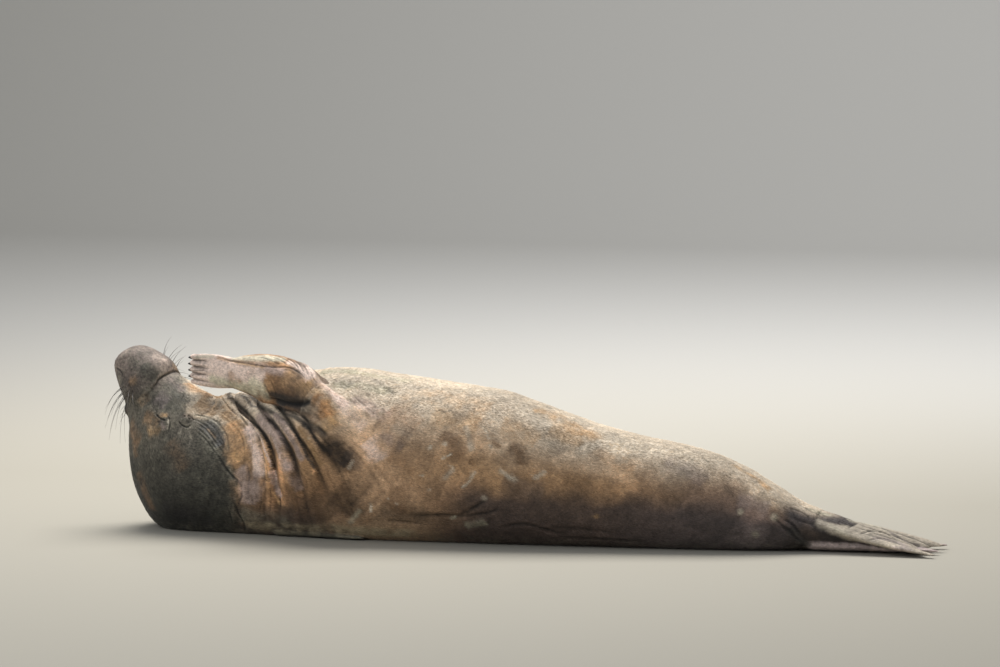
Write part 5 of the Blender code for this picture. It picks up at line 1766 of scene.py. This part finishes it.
def new_material(name):
    """A material with its principled shader."""
    made = bpy.data.materials.new(name)
    made.use_nodes = True
    return made, made.node_tree, made.node_tree.nodes["Principled BSDF"]


def finish_piece(item, material):
    """Give a piece its material and smooth shading."""
    item.data.materials.append(material)
    item.data.polygons.foreach_set("use_smooth", [True] * len(item.data.polygons))


def attribute_node(tree, name, output):
    """Read something stored at the points."""
    return add_node(tree, "ShaderNodeAttribute", {}, output, attribute_name=name)


def mix_colours(tree, share, first, second):
    """Blend from one plain colour to another."""
    given = {"A": (*first, 1.0), "B": (*second, 1.0), "Factor": share}
    return add_node(tree, "ShaderNodeMix", given, "Result", data_type="RGBA")


def coat_material(name, amount, bump_depth, tinted):
    """Painted colour with grain, streaks and damp shine."""
    made, tree, shader = new_material(name)
    where = add_node(tree, "ShaderNodeTexCoord", {}, "Object")
    lay = attribute_node(tree, "lay", "Vector")
    coat_shares = attribute_node(tree, "coat", "Color")
    shares = add_node(tree, "ShaderNodeSeparateColor", {"Color": coat_shares}).node.outputs
    colour = add_node(tree, "ShaderNodeGroup", {
        "Colour": attribute_node(tree, "hide", "Color"), "Place": where, "Lay": lay,
        "Amount": ramp_node(tree, shares["Green"], 0.0, 1.0, amount, 2.0 * amount),
    }, "Colour", node_tree=MOTTLE)
    if tinted:
        colour = vector_node(tree, "SCALE", colour, attribute_node(tree, "tint", "Fac"))
    fill_inputs(tree, shader, {
        "Base Color": colour, "Roughness": ramp_node(tree, shares["Red"], 0.0, 1.0, 0.78, 0.50),
        "Specular IOR Level": 0.35, "Sheen Weight": 0.06, "Sheen Roughness": 0.5,
    })
    if bump_depth > 0.0:
        given = {"Place": where, "Lay": lay}
        height = add_node(tree, "ShaderNodeGroup", given, "Height", node_tree=PELT_HEIGHT)
        given = {"Strength": 0.75, "Distance": bump_depth, "Height": height}
        tree.links.new(add_node(tree, "ShaderNodeBump", given, "Normal"), shader.inputs["Normal"])
    return made


SKIN_MATERIAL = coat_material("seal_skin", 1.0, 0.0026, False)
FUR_MATERIAL = coat_material("seal_fur", 0.35, 0.0, True)


def horn_material():
    """Dark horn for claws."""
    made, tree, shader = new_material("claw_horn")
    grain = noise_node(tree, add_node(tree, "ShaderNodeTexCoord", {}, "Object"), 180.0, 3.0)
    colour = mix_colours(tree, grain, (0.007, 0.007, 0.008), (0.034, 0.031, 0.031))
    fill_inputs(tree, shader, {"Base Color": colour, "Roughness": 0.38})
    return made


def whisker_material():
    """Stiff dark whiskers with paler ends."""
    made, tree, shader = new_material("whisker")
    share = ramp_node(tree, attribute_node(tree, "share", "Fac"), 0.3, 1.0, 0.0, 1.0)
    colour = mix_colours(tree, share, (0.014, 0.012, 0.011), (0.085, 0.070, 0.055))
    fill_inputs(tree, shader, {"Base Color": colour, "Roughness": 0.42})
    return made


EYE_RINGS = (
    (0.105, (0.003, 0.003, 0.003)), (0.125, (0.040, 0.020, 0.010)), (0.235, (0.022, 0.012, 0.007)),
    (0.262, (0.006, 0.005, 0.005)), (0.300, (0.170, 0.120, 0.100)), (0.420, (0.110, 0.050, 0.045)),
)


def eye_material():
    """Black pupil, dark brown iris, wet clear coat."""
    made, tree, shader = new_material("wet_eye")
    look = attribute_node(tree, "look", "Vector")
    around = add_node(tree, "ShaderNodeSeparateXYZ", {"Vector": look}, "X")
    colour = add_node(tree, "ShaderNodeValToRGB", {"Fac": around}, "Color")
    stops = colour.node.color_ramp.elements
    for number, (position, tone) in enumerate(EYE_RINGS):
        stop = stops[number] if number < 2 else stops.new(position)
        stop.position = position
        stop.color = (*tone, 1.0)
    fill_inputs(tree, shader, {
        "Base Color": colour, "Roughness": 0.12, "Coat Weight": 1.0, "Coat Roughness": 0.03,
    })
    return made


HORN_MATERIAL = horn_material()
WHISKER_MATERIAL = whisker_material()
EYE_MATERIAL = eye_material()
skin.data.materials.clear()
finish_piece(skin, SKIN_MATERIAL)
made_materials = (SKIN_MATERIAL, FUR_MATERIAL, HORN_MATERIAL, WHISKER_MATERIAL, EYE_MATERIAL)
print("materials:", [made.name for made in made_materials])

# %% [markdown]
# ## Eyes
# A seal's eye is a dark wet ball with hardly any white. A round mesh with its pole at the pupil lets the
# colours follow rings, from black pupil through dark brown iris to the darker rim. How far round each
# point lies is stored with it, for the shader to read.

# %% Eyeballs
EYE_STEPS = 48
EYE_SIDES = 72


def build_eyeball(name, side):
    """A ball that looks outward from its socket."""
    here, outward, back = head_frame(EYE_PLACE[0], side * EYE_PLACE[1])[:3]
    centre = np.array(here - outward * (0.62 * EYE_RADIUS))
    turns = np.linspace(0.0, math.pi, EYE_STEPS + 1)[1:-1]
    sides = np.linspace(0.0, 2.0 * math.pi, EYE_SIDES, endpoint=False)
    front, across = np.array(outward), np.array(back)
    ring = np.outer(np.cos(sides), across) + np.outer(np.sin(sides), np.cross(front, across))
    points = [centre + EYE_RADIUS * (math.cos(turn) * front + math.sin(turn) * ring) for turn in turns]
    points.append(centre + EYE_RADIUS * np.array((front, -front)))
    facts = [(turn / math.pi, 0.0, 0.0) for turn in turns for _ in sides]
    facts += [(0.0, 0.0, 0.0), (1.0, 0.0, 0.0)]
    ball = make_mesh(name, np.vstack(points), net_faces(len(turns), EYE_SIDES), {"look": facts})
    finish_piece(ball, EYE_MATERIAL)
    return ball


right_eye = build_eyeball("right_eyeball", 1.0)
left_eye = build_eyeball("left_eyeball", -1.0)
for ball in (left_eye, right_eye):
    print(ball.name, "at", tuple(round(v, 3) for v in ball.data.vertices[0].co))

# %% [markdown]
# ## Claws
# Each finger of the raised flipper ends in a narrow dark claw. The photo shows four of them. The thumb
# edge ends in bare skin. A claw is a short bent horn that grows thinner, and its root sits in the finger.
# All claws are one mesh, because they share one finish.

# %% Claws of the raised flipper
CLAW_LENGTH = 0.034
CLAW_ROWS = 14
CLAW_SIDES = 20


def claw_net(number):
    """One claw at the end of a digit."""
    ahead, across = np.array(HAND_SHAPE["ahead"]), np.array(HAND_SHAPE["across"])
    across = across / np.linalg.norm(across)
    normal = np.cross(ahead, across)
    v = -1.0 + (2.0 * number + 1.0) / DIGIT_COUNT
    reach = HAND_SHAPE["length"] * (0.975 if abs(v) < 0.7 else 0.965)
    root = np.array(HAND_SHAPE["root"]) + ahead * (reach - 0.55 * CLAW_LENGTH)
    root = root + across * v * HAND_HALF_WIDTH
    parts = np.linspace(0.0, 1.0, CLAW_ROWS)
    bends = 0.004 * parts * (1.0 - parts) - 0.003 * parts ** 2
    centres = [root + ahead * CLAW_LENGTH * part + normal * bend for part, bend in zip(parts, bends)]
    radii = 0.0078 * np.sqrt(np.maximum(1.0 - parts ** 2.2, 0.01))
    ups = [across] * CLAW_ROWS
    return tube_net(f"claw_{number}", HAND, centres, ups, radii, radii * 0.72, CLAW_SIDES)


claws = join_nets([claw_net(number) for number in range(1, DIGIT_COUNT)], "claws")
finish_piece(claws, HORN_MATERIAL)
print("claws:", DIGIT_COUNT - 1, "with", triangle_count(claws.data), "triangles")

# %% [markdown]
# ## Whiskers
# Whiskers repeat, so Geometry Nodes sets one tapered tube on each root point. The points carry a
# direction, a bend and a length. After the tubes are set, every point of a tube is moved sideways by the
# square of its share of the length, so the whiskers curve. A row of stiff hairs stands above each eye.

# %% Whisker roots and their tree
WHISKERS_IN_ROW = (3, 4, 4, 4, 3)
WHISKER_ROOT_RADIUS = 0.0013
WHISKER_SIDES = 6
WHISKER_RINGS = 14
WHISKER_SEED = 23
FORWARD_WHISKERS = (
    (0.095, -62), (0.106, -74), (0.116, -66), (0.127, -76), (0.138, -64), (0.150, -72),
    (0.162, -62), (0.170, -78),
)


def whisker_roots():
    """Root, direction, bend and length of every whisker."""
    random = np.random.default_rng(WHISKER_SEED)
    roots = []
    for side in (1.0, -1.0):
        for line, count in enumerate(WHISKERS_IN_ROW):
            for step in range(count):
                behind = WHISKER_PAD[0] - 0.036 + 0.019 * step + 0.006 * (line % 2)
                degrees = WHISKER_PAD[1] + 16.0 - 8.5 * line
                here, outward, back, around = head_frame(behind, side * degrees)
                aim = outward + back * (0.10 + 0.10 * step + 0.12 * random.random())
                aim += around * (side * (0.10 * (2 - line) + 0.16 * (random.random() - 0.5)))
                bend = back * (0.38 + 0.25 * random.random()) + Vector((0.0, 0.0, -0.16))
                length = 0.072 + 0.013 * step + 0.05 * random.random()
                roots.append((here - outward * 0.004, aim.normalized(), bend, length))
        for step in range(3):
            behind = EYE_PLACE[0] - 0.030 + 0.014 * step
            here, outward, back = head_frame(behind, side * (EYE_PLACE[1] + 13.0))[:3]
            aim = (outward + back * 0.3).normalized()
            roots.append((here - outward * 0.004, aim, back * 0.4, 0.045 + 0.01 * step))
    for behind, degrees in FORWARD_WHISKERS:
        here, outward, back = head_frame(behind, degrees)[:3]
        aim = outward - back * (0.25 + 0.4 * random.random()) + Vector((0.0, 0.0, 0.25))
        length = 0.075 + 0.050 * random.random()
        roots.append((here - outward * 0.004, aim.normalized(), back * 0.3, length))
    return roots


def whisker_tree():
    """Set a tapered tube on each root, then bend it."""
    tree, start, end = new_tree(
        "whiskers", "GeometryNodeTree",
        (("Geometry", "Geometry"), ("Radius", "Float"), ("Material", "Material")),
        (("Geometry", "Geometry"),))
    cone = add_node(tree, "GeometryNodeMeshCone", {
        "Vertices": WHISKER_SIDES, "Side Segments": WHISKER_RINGS, "Radius Top": 0.22,
        "Radius Bottom": 1.0, "Depth": 1.0,
    }, "Mesh", fill_type="NGON")
    here = add_node(tree, "GeometryNodeInputPosition", {})
    height = add_node(tree, "ShaderNodeSeparateXYZ", {"Vector": here}, "Z")
    tube = keep_fact(tree, cone, "share", height, "FLOAT")
    aim = stored(tree, "aim")
    turn = add_node(tree, "FunctionNodeAlignRotationToVector", {"Vector": aim}, axis="Z")
    length = stored(tree, "length", "FLOAT")
    sizes = {"X": start["Radius"], "Y": start["Radius"], "Z": length}
    size = add_node(tree, "ShaderNodeCombineXYZ", sizes)
    tubes = add_node(tree, "GeometryNodeInstanceOnPoints", {
        "Points": start["Geometry"], "Instance": tube, "Rotation": turn, "Scale": size})
    real = add_node(tree, "GeometryNodeRealizeInstances", {"Geometry": tubes})
    share = stored(tree, "share", "FLOAT")
    by_length = math_node(tree, "MULTIPLY", math_node(tree, "MULTIPLY", share, share), length)
    offset = vector_node(tree, "SCALE", stored(tree, "bend"), by_length)
    bent = add_node(tree, "GeometryNodeSetPosition", {"Geometry": real, "Offset": offset})
    given = {"Geometry": bent, "Material": start["Material"]}
    tree.links.new(add_node(tree, "GeometryNodeSetMaterial", given), end["Geometry"])
    return tree


WHISKER_LIST = whisker_roots()
whisker_mesh = bpy.data.meshes.new("whiskers")
whisker_mesh.from_pydata([tuple(row[0]) for row in WHISKER_LIST], [], [])
for column, title in enumerate(("aim", "bend", "length"), start=1):
    kind = "FLOAT" if title == "length" else "FLOAT_VECTOR"
    store_fact(whisker_mesh, title, [root[column] for root in WHISKER_LIST], kind)
whiskers = set_down("whiskers", whisker_mesh)
run_nodes(whiskers, whisker_tree(), {"Radius": WHISKER_ROOT_RADIUS, "Material": WHISKER_MATERIAL})
print("whiskers:", len(WHISKER_LIST), "with", triangle_count(whiskers.data), "triangles")

# %% [markdown]
# ## Which way the fur lies
# Seal fur is short, stiff and lies flat, with its tips towards the tail. Its direction at a point is
# that in which the ring place grows, bent a little downwards. On a flipper it runs towards the tip. The
# same facts give coordinates along the coat, in metres, for the streaks in the shader.

# %% Direction and coordinates of the coat
COAT_RADIUS = 0.30
RUN_STEPS = 400
SWIRL_SEED = 90


def ring_side(at_place, cos_turn):
    """A point of the smooth rings, without relief."""
    ring = spline(RINGS, np.clip(at_place, 0.0, LAST_RING))
    middle = 0.5 * (ring[:, 0:2] + ring[:, 2:4])
    half = 0.5 * (ring[:, 0:2] - ring[:, 2:4])
    flat = middle + half * cos_turn[:, None]
    return np.stack((flat[:, 0], ring[:, 5], flat[:, 1]), axis=1)


trunk_place = np.clip(place, 0.0, LAST_RING - 0.2)
cos_turn = skin_at[:, 1] / np.maximum(np.hypot(skin_at[:, 1], skin_at[:, 2]), 1e-6)
comb = ring_side(trunk_place + 0.2, cos_turn) - ring_side(trunk_place, cos_turn)
limb_ways = {HAND: HAND_SHAPE["ahead"], LOW_FLIPPER: LOW_SHAPE["ahead"], LEFT_HIND: LEFT_SHAPE["ahead"],
             RIGHT_HIND: RIGHT_SHAPE["ahead"], TAIL: (1.0, 0.2, 0.0), LID: (0.4, 0.0, -0.9)}
for number, way in limb_ways.items():
    comb[limb == number] = way
arm_table = np.array(ARM_ROWS)
arm_last = len(arm_table) - 1.0
arm_step = np.clip(limb_at[:, 1], 0.0, 0.98) * arm_last
arm_way = spline(arm_table, np.minimum(arm_step + 0.1, arm_last)) - spline(arm_table, arm_step)
comb = np.where((limb == ARM)[:, None], arm_way[:, 0:3], comb)
comb /= np.maximum(np.linalg.norm(comb, axis=1), 1e-9)[:, None]
swirl = np.stack([cell_noise(points, 0.12, SWIRL_SEED + axis) for axis in range(3)], axis=1)
comb += np.array((0.0, 0.0, -0.22)) + 0.20 * swirl
comb -= normals * np.einsum("ij,ij->i", comb, normals)[:, None]
comb /= np.maximum(np.linalg.norm(comb, axis=1), 1e-9)[:, None]
for axis in range(3):
    comb[:, axis] = neighbours.blur(comb[:, axis], 6)

ring_places = np.linspace(0.0, LAST_RING, RUN_STEPS)
middles = ring_side(ring_places, np.zeros(RUN_STEPS))
run_length = np.concatenate(((0.0,), np.cumsum(np.linalg.norm(np.diff(middles, axis=0), axis=1))))
body_run = np.interp(np.clip(place, 0.0, LAST_RING), ring_places, run_length)
on_limb = ~on_trunk
nothing = np.zeros(len(points))


def columns(on_body, on_limbs):
    """Three columns, one set for the body and one for its limbs."""
    return np.where(on_limb[:, None], np.stack(on_limbs, axis=1), np.stack(on_body, axis=1))


lay = columns(
    (body_run, COAT_RADIUS * skin_at[:, 1], COAT_RADIUS * skin_at[:, 2]),
    (0.5 * limb_at[:, 1], 0.10 * limb_at[:, 2], 0.2 * limb_at[:, 0] + 0.02 * skin_at[:, 1]))
turn_share = turn / (2.0 * math.pi) + 0.5
box_low = 0.02 + 0.135 * (limb_at[:, 0] - 1.0)
side_step = np.where(skin_at[:, 1] > 0.0, 0.066, 0.0)
pelt = columns(
    (0.02 + 0.74 * body_run / run_length[-1], 0.02 + 0.95 * turn_share, nothing),
    (0.80 + 0.18 * limb_at[:, 1], box_low + side_step + 0.028 * (limb_at[:, 2] + 1.0), nothing))
face_share = smooth_step(8.5, 5.0, np.where(on_trunk, place, 20.0))
size_here = 1.0 - 0.45 * np.clip(head, 0.0, 1.0) - 0.25 * face_share
size_here = np.where(on_limb, 0.40, size_here)
size_here = np.where(on_trunk & (place < 4.0), 0.30, size_here)
size_here *= 1.0 + 0.25 * middle_noise
bare = 1.0 - 0.9 * np.clip(crease, 0.0, 1.0)
bare *= np.where(points[:, 2] < 0.006, 0.0, 1.0)
for side in (1.0, -1.0):
    eye_spot = np.array(head_frame(EYE_PLACE[0], side * EYE_PLACE[1])[0])
    bare *= smooth_step(0.024, 0.040, np.linalg.norm(points - eye_spot, axis=1))
growth = np.stack((size_here, bare, nothing), axis=1)
for title, values in (("lay", lay), ("comb", comb), ("pelt", pelt), ("growth", growth)):
    store_fact(fine_skin.data, title, values)
run_nodes(skin, carry_tree(("lay",)), {"From": fine_skin})
print("comb at mid back", comb[int(np.argmax(points[:, 2]))].round(2).tolist())

# %% [markdown]
# ## Tufts of fur
# Millions of hairs can't be modelled, and bump alone leaves a smooth outline. So small tufts are strewn
# over the fine skin, denser than the eye can count. Each is a closed wedge of four triangles that lies
# nearly flat, with its tip a little raised. It takes colour, direction and size from the skin at its
# root. Its texture patch lies at the root's place on the unrolled skin.

# %% Strew the tufts with Geometry Nodes
TUFT_LENGTH = 0.0115
TUFT_WIDTH = 0.0026
TUFT_HEIGHT = 0.0009
TUFT_LEAN = 0.17
TUFT_JITTER = 0.22
TUFTS_IN_PIECE = 45000
COAT_PIECES = 4
PATCH = 0.003


def tuft_object():
    """One wedge: a narrow three-sided root and a pointed tip, along x, with z up."""
    verts = [(-0.12, 0.5, -0.4), (-0.12, -0.5, -0.4), (-0.05, 0.0, 0.6), (1.0, 0.0, 0.25)]
    faces = [(0, 1, 2), (1, 0, 3), (2, 1, 3), (0, 2, 3)]
    spread = [(0.0, 1.0, 0.0), (0.0, 0.0, 0.0), (0.3, 0.5, 0.0), (1.0, 0.5, 0.0)]
    return make_mesh("tuft", verts, faces, {"spread": spread})


def random_node(tree, low, high, inputs):
    """A random number or vector for each point."""
    first, kind = (0, "FLOAT_VECTOR") if isinstance(low, tuple) else (2, "FLOAT")
    given = {first: low, first + 1: high, **inputs}
    return add_node(tree, "FunctionNodeRandomValue", given, first // 2, data_type=kind)


def coat_tree():
    """Scatter tufts on the skin, turn them along the comb and keep their facts."""
    tree, start, end = new_tree(
        "coat", "GeometryNodeTree",
        (("Geometry", "Geometry"), ("Density", "Float"), ("Seed", "Int"), ("Tuft", "Object"),
         ("Material", "Material")),
        (("Geometry", "Geometry"),))
    growing = stored(tree, "growth")
    growing = add_node(tree, "ShaderNodeSeparateXYZ", {"Vector": growing}).node.outputs
    strewn = add_node(tree, "GeometryNodeDistributePointsOnFaces", {
        "Mesh": start["Geometry"], "Seed": start["Seed"],
        "Density": math_node(tree, "MULTIPLY", start["Density"], growing["Y"]),
    }).node.outputs
    tint = random_node(tree, 0.92, 1.48, {"Seed": start["Seed"]})
    roots = keep_fact(tree, strewn["Points"], "tint", tint, "FLOAT")
    lean = vector_node(tree, "SCALE", strewn["Normal"], TUFT_LEAN)
    way = vector_node(tree, "ADD", stored(tree, "comb"), lean)
    jitter = random_node(tree, (-TUFT_JITTER,) * 3, (TUFT_JITTER,) * 3, {})
    way = vector_node(tree, "ADD", way, jitter)
    along_x = add_node(tree, "FunctionNodeAlignRotationToVector", {"Vector": way}, axis="X")
    up_z = add_node(tree, "FunctionNodeAlignRotationToVector", {
        "Rotation": along_x, "Vector": strewn["Normal"]}, axis="Z", pivot_axis="X")
    size = random_node(tree, (0.60, 0.75, 0.75), (1.35, 1.25, 1.25), {})
    size = vector_node(tree, "MULTIPLY", size, (TUFT_LENGTH, TUFT_WIDTH, TUFT_HEIGHT))
    size = vector_node(tree, "SCALE", size, growing["X"])
    body = add_node(tree, "GeometryNodeObjectInfo", {"Object": start["Tuft"]}, "Geometry")
    tufts = add_node(tree, "GeometryNodeInstanceOnPoints", {
        "Points": roots, "Instance": body, "Rotation": up_z, "Scale": size})
    real = add_node(tree, "GeometryNodeRealizeInstances", {"Geometry": tufts})
    patch = vector_node(tree, "SCALE", stored(tree, "spread"), PATCH)
    patch = vector_node(tree, "ADD", patch, stored(tree, "pelt"))
    unrolled = keep_fact(tree, real, "OFBake", patch, "FLOAT2", "CORNER")
    given = {"Geometry": unrolled, "Material": start["Material"]}
    tree.links.new(add_node(tree, "GeometryNodeSetMaterial", given), end["Geometry"])
    return tree


area = np.zeros(len(fine_skin.data.polygons))
fine_skin.data.polygons.foreach_get("area", area)
bare_faces = bare[[face.vertices[0] for face in fine_skin.data.polygons]]
COAT_DENSITY = TUFTS_IN_PIECE / float((area * bare_faces).sum())
tuft = tuft_object()
tree = coat_tree()
coat = []
for number in range(COAT_PIECES):
    piece = set_down(f"coat_{number}", fine_skin.data.copy())
    run_nodes(piece, tree, {
        "Density": COAT_DENSITY, "Seed": number + 1, "Tuft": tuft, "Material": FUR_MATERIAL})
    for spare in ("skin_at", "limb_at", "comb", "pelt", "growth", "spread"):
        layer = piece.data.attributes.get(spare)
        if layer is not None:
            piece.data.attributes.remove(layer)
    coat.append(piece)
drop(tuft, fine_skin)
print("coat pieces:", [triangle_count(piece.data) for piece in coat])
print("texture maps:", [layer.name for layer in coat[0].data.uv_layers])
print("facts kept:", [layer.name for layer in coat[0].data.attributes])

extra_pieces = [(claws, "nail"), (whiskers, "nail")] + [(piece, "skin") for piece in coat]

# %% [markdown]
# ## Floor, light and world
# The animal rests on a plain pale floor that bends up into a backdrop far behind it. A large soft light
# hangs above and behind, because the photo's back and brow are bright and its lower edge is nearly
# black. A weaker light from the front opens the shadows, and a third one washes the backdrop.

# %% Floor and lights
FLOOR_HALF_WIDTH = 24.0
FLOOR_FRONT = -26.0
FLOOR_BACK = 15.0
BACKDROP_BEND = 5.0
BEND_STEPS = 24
BACKDROP_HEIGHT = 16.0
FLOOR_COLOUR = (0.375, 0.355, 0.305)


def build_floor():
    """A floor sheet that bends smoothly up into a wall."""
    profile = [(FLOOR_FRONT, 0.0), (0.0, 0.0), (FLOOR_BACK, 0.0)]
    for step in range(1, BEND_STEPS + 1):
        turn = 0.5 * math.pi * step / BEND_STEPS
        rise = BACKDROP_BEND * (1.0 - math.cos(turn))
        profile.append((FLOOR_BACK + BACKDROP_BEND * math.sin(turn), rise))
    profile.append((FLOOR_BACK + BACKDROP_BEND, BACKDROP_HEIGHT))
    verts = [(x, y, z) for y, z in profile for x in (-FLOOR_HALF_WIDTH, FLOOR_HALF_WIDTH)]
    faces = [(2 * i, 2 * i + 1, 2 * i + 3, 2 * i + 2) for i in range(len(profile) - 1)]
    mesh = bpy.data.meshes.new("floor")
    mesh.from_pydata(verts, [], faces)
    item = set_down("floor", mesh)
    paint, tree, shader = new_material("floor")
    fill_inputs(tree, shader, {"Base Color": (*FLOOR_COLOUR, 1.0), "Roughness": 0.9})
    finish_piece(item, paint)
    return item


def area_light(name, place, aim, size, power, colour):
    """A square soft light that looks at a point."""
    data = bpy.data.lights.new(name, "AREA")
    data.shape = "SQUARE"
    data.size, data.energy, data.color = size, power, colour
    item = set_down(name, data)
    item.location = place
    item.rotation_euler = (Vector(aim) - Vector(place)).to_track_quat("-Z", "Y").to_euler()
    return item


floor = build_floor()
key = area_light("key", (-1.5, 2.6, 6.5), (0.0, 0.0, 0.2), 4.5, 740.0, (1.0, 0.97, 0.92))
fill = area_light("fill", (-4.5, -8.0, 6.0), (-0.6, 0.0, 0.3), 5.0, 230.0, (0.94, 0.97, 1.0))
wash = area_light("wash", (0.0, 7.5, 8.5), (0.0, 16.0, 2.5), 9.0, 1700.0, (0.83, 0.87, 1.0))
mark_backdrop(floor, key, fill, wash)
world = bpy.data.worlds.new("sky")
world.use_nodes = True
sky = {"Color": (0.93, 0.96, 1.0, 1.0), "Strength": 0.42}
fill_inputs(world.node_tree, world.node_tree.nodes["Background"], sky)
bpy.context.scene.world = world
bpy.context.scene.view_settings.view_transform = "Standard"
print("lights:", key.name, fill.name, wash.name)

# %% [markdown]
# ## Attach the pieces
# The solids of the flesh and of the eyes are hidden, and the skin, the eyes, the claws, the whiskers and
# the coat are attached to the root body. The box of the finished animal is compared with the box of the
# solids.

# %% Hidden solids, attached pieces and size
FLESH = (
    "nose", "head", "neck", "shoulders", "chest", "belly", "hips", "tail", "left_foreflipper_arm",
    "left_foreflipper_hand", "right_foreflipper", "left_hind_flipper", "right_hind_flipper",
)
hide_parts(*FLESH)
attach(skin, "root")
for piece, side in ((left_eye, "left_eye"), (right_eye, "right_eye")):
    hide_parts(side)
    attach(piece, "root")
for piece, finish in extra_pieces:
    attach(piece, "root")
final_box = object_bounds()
print("visual box", [round(v, 3) for v in (*final_box[0], *final_box[1])])
wide, was_wide = [[high - low for low, high in zip(*box)] for box in (final_box, CAD_BOX)]
print("grown by", [round(now - before, 4) for now, before in zip(wide, was_wide)])
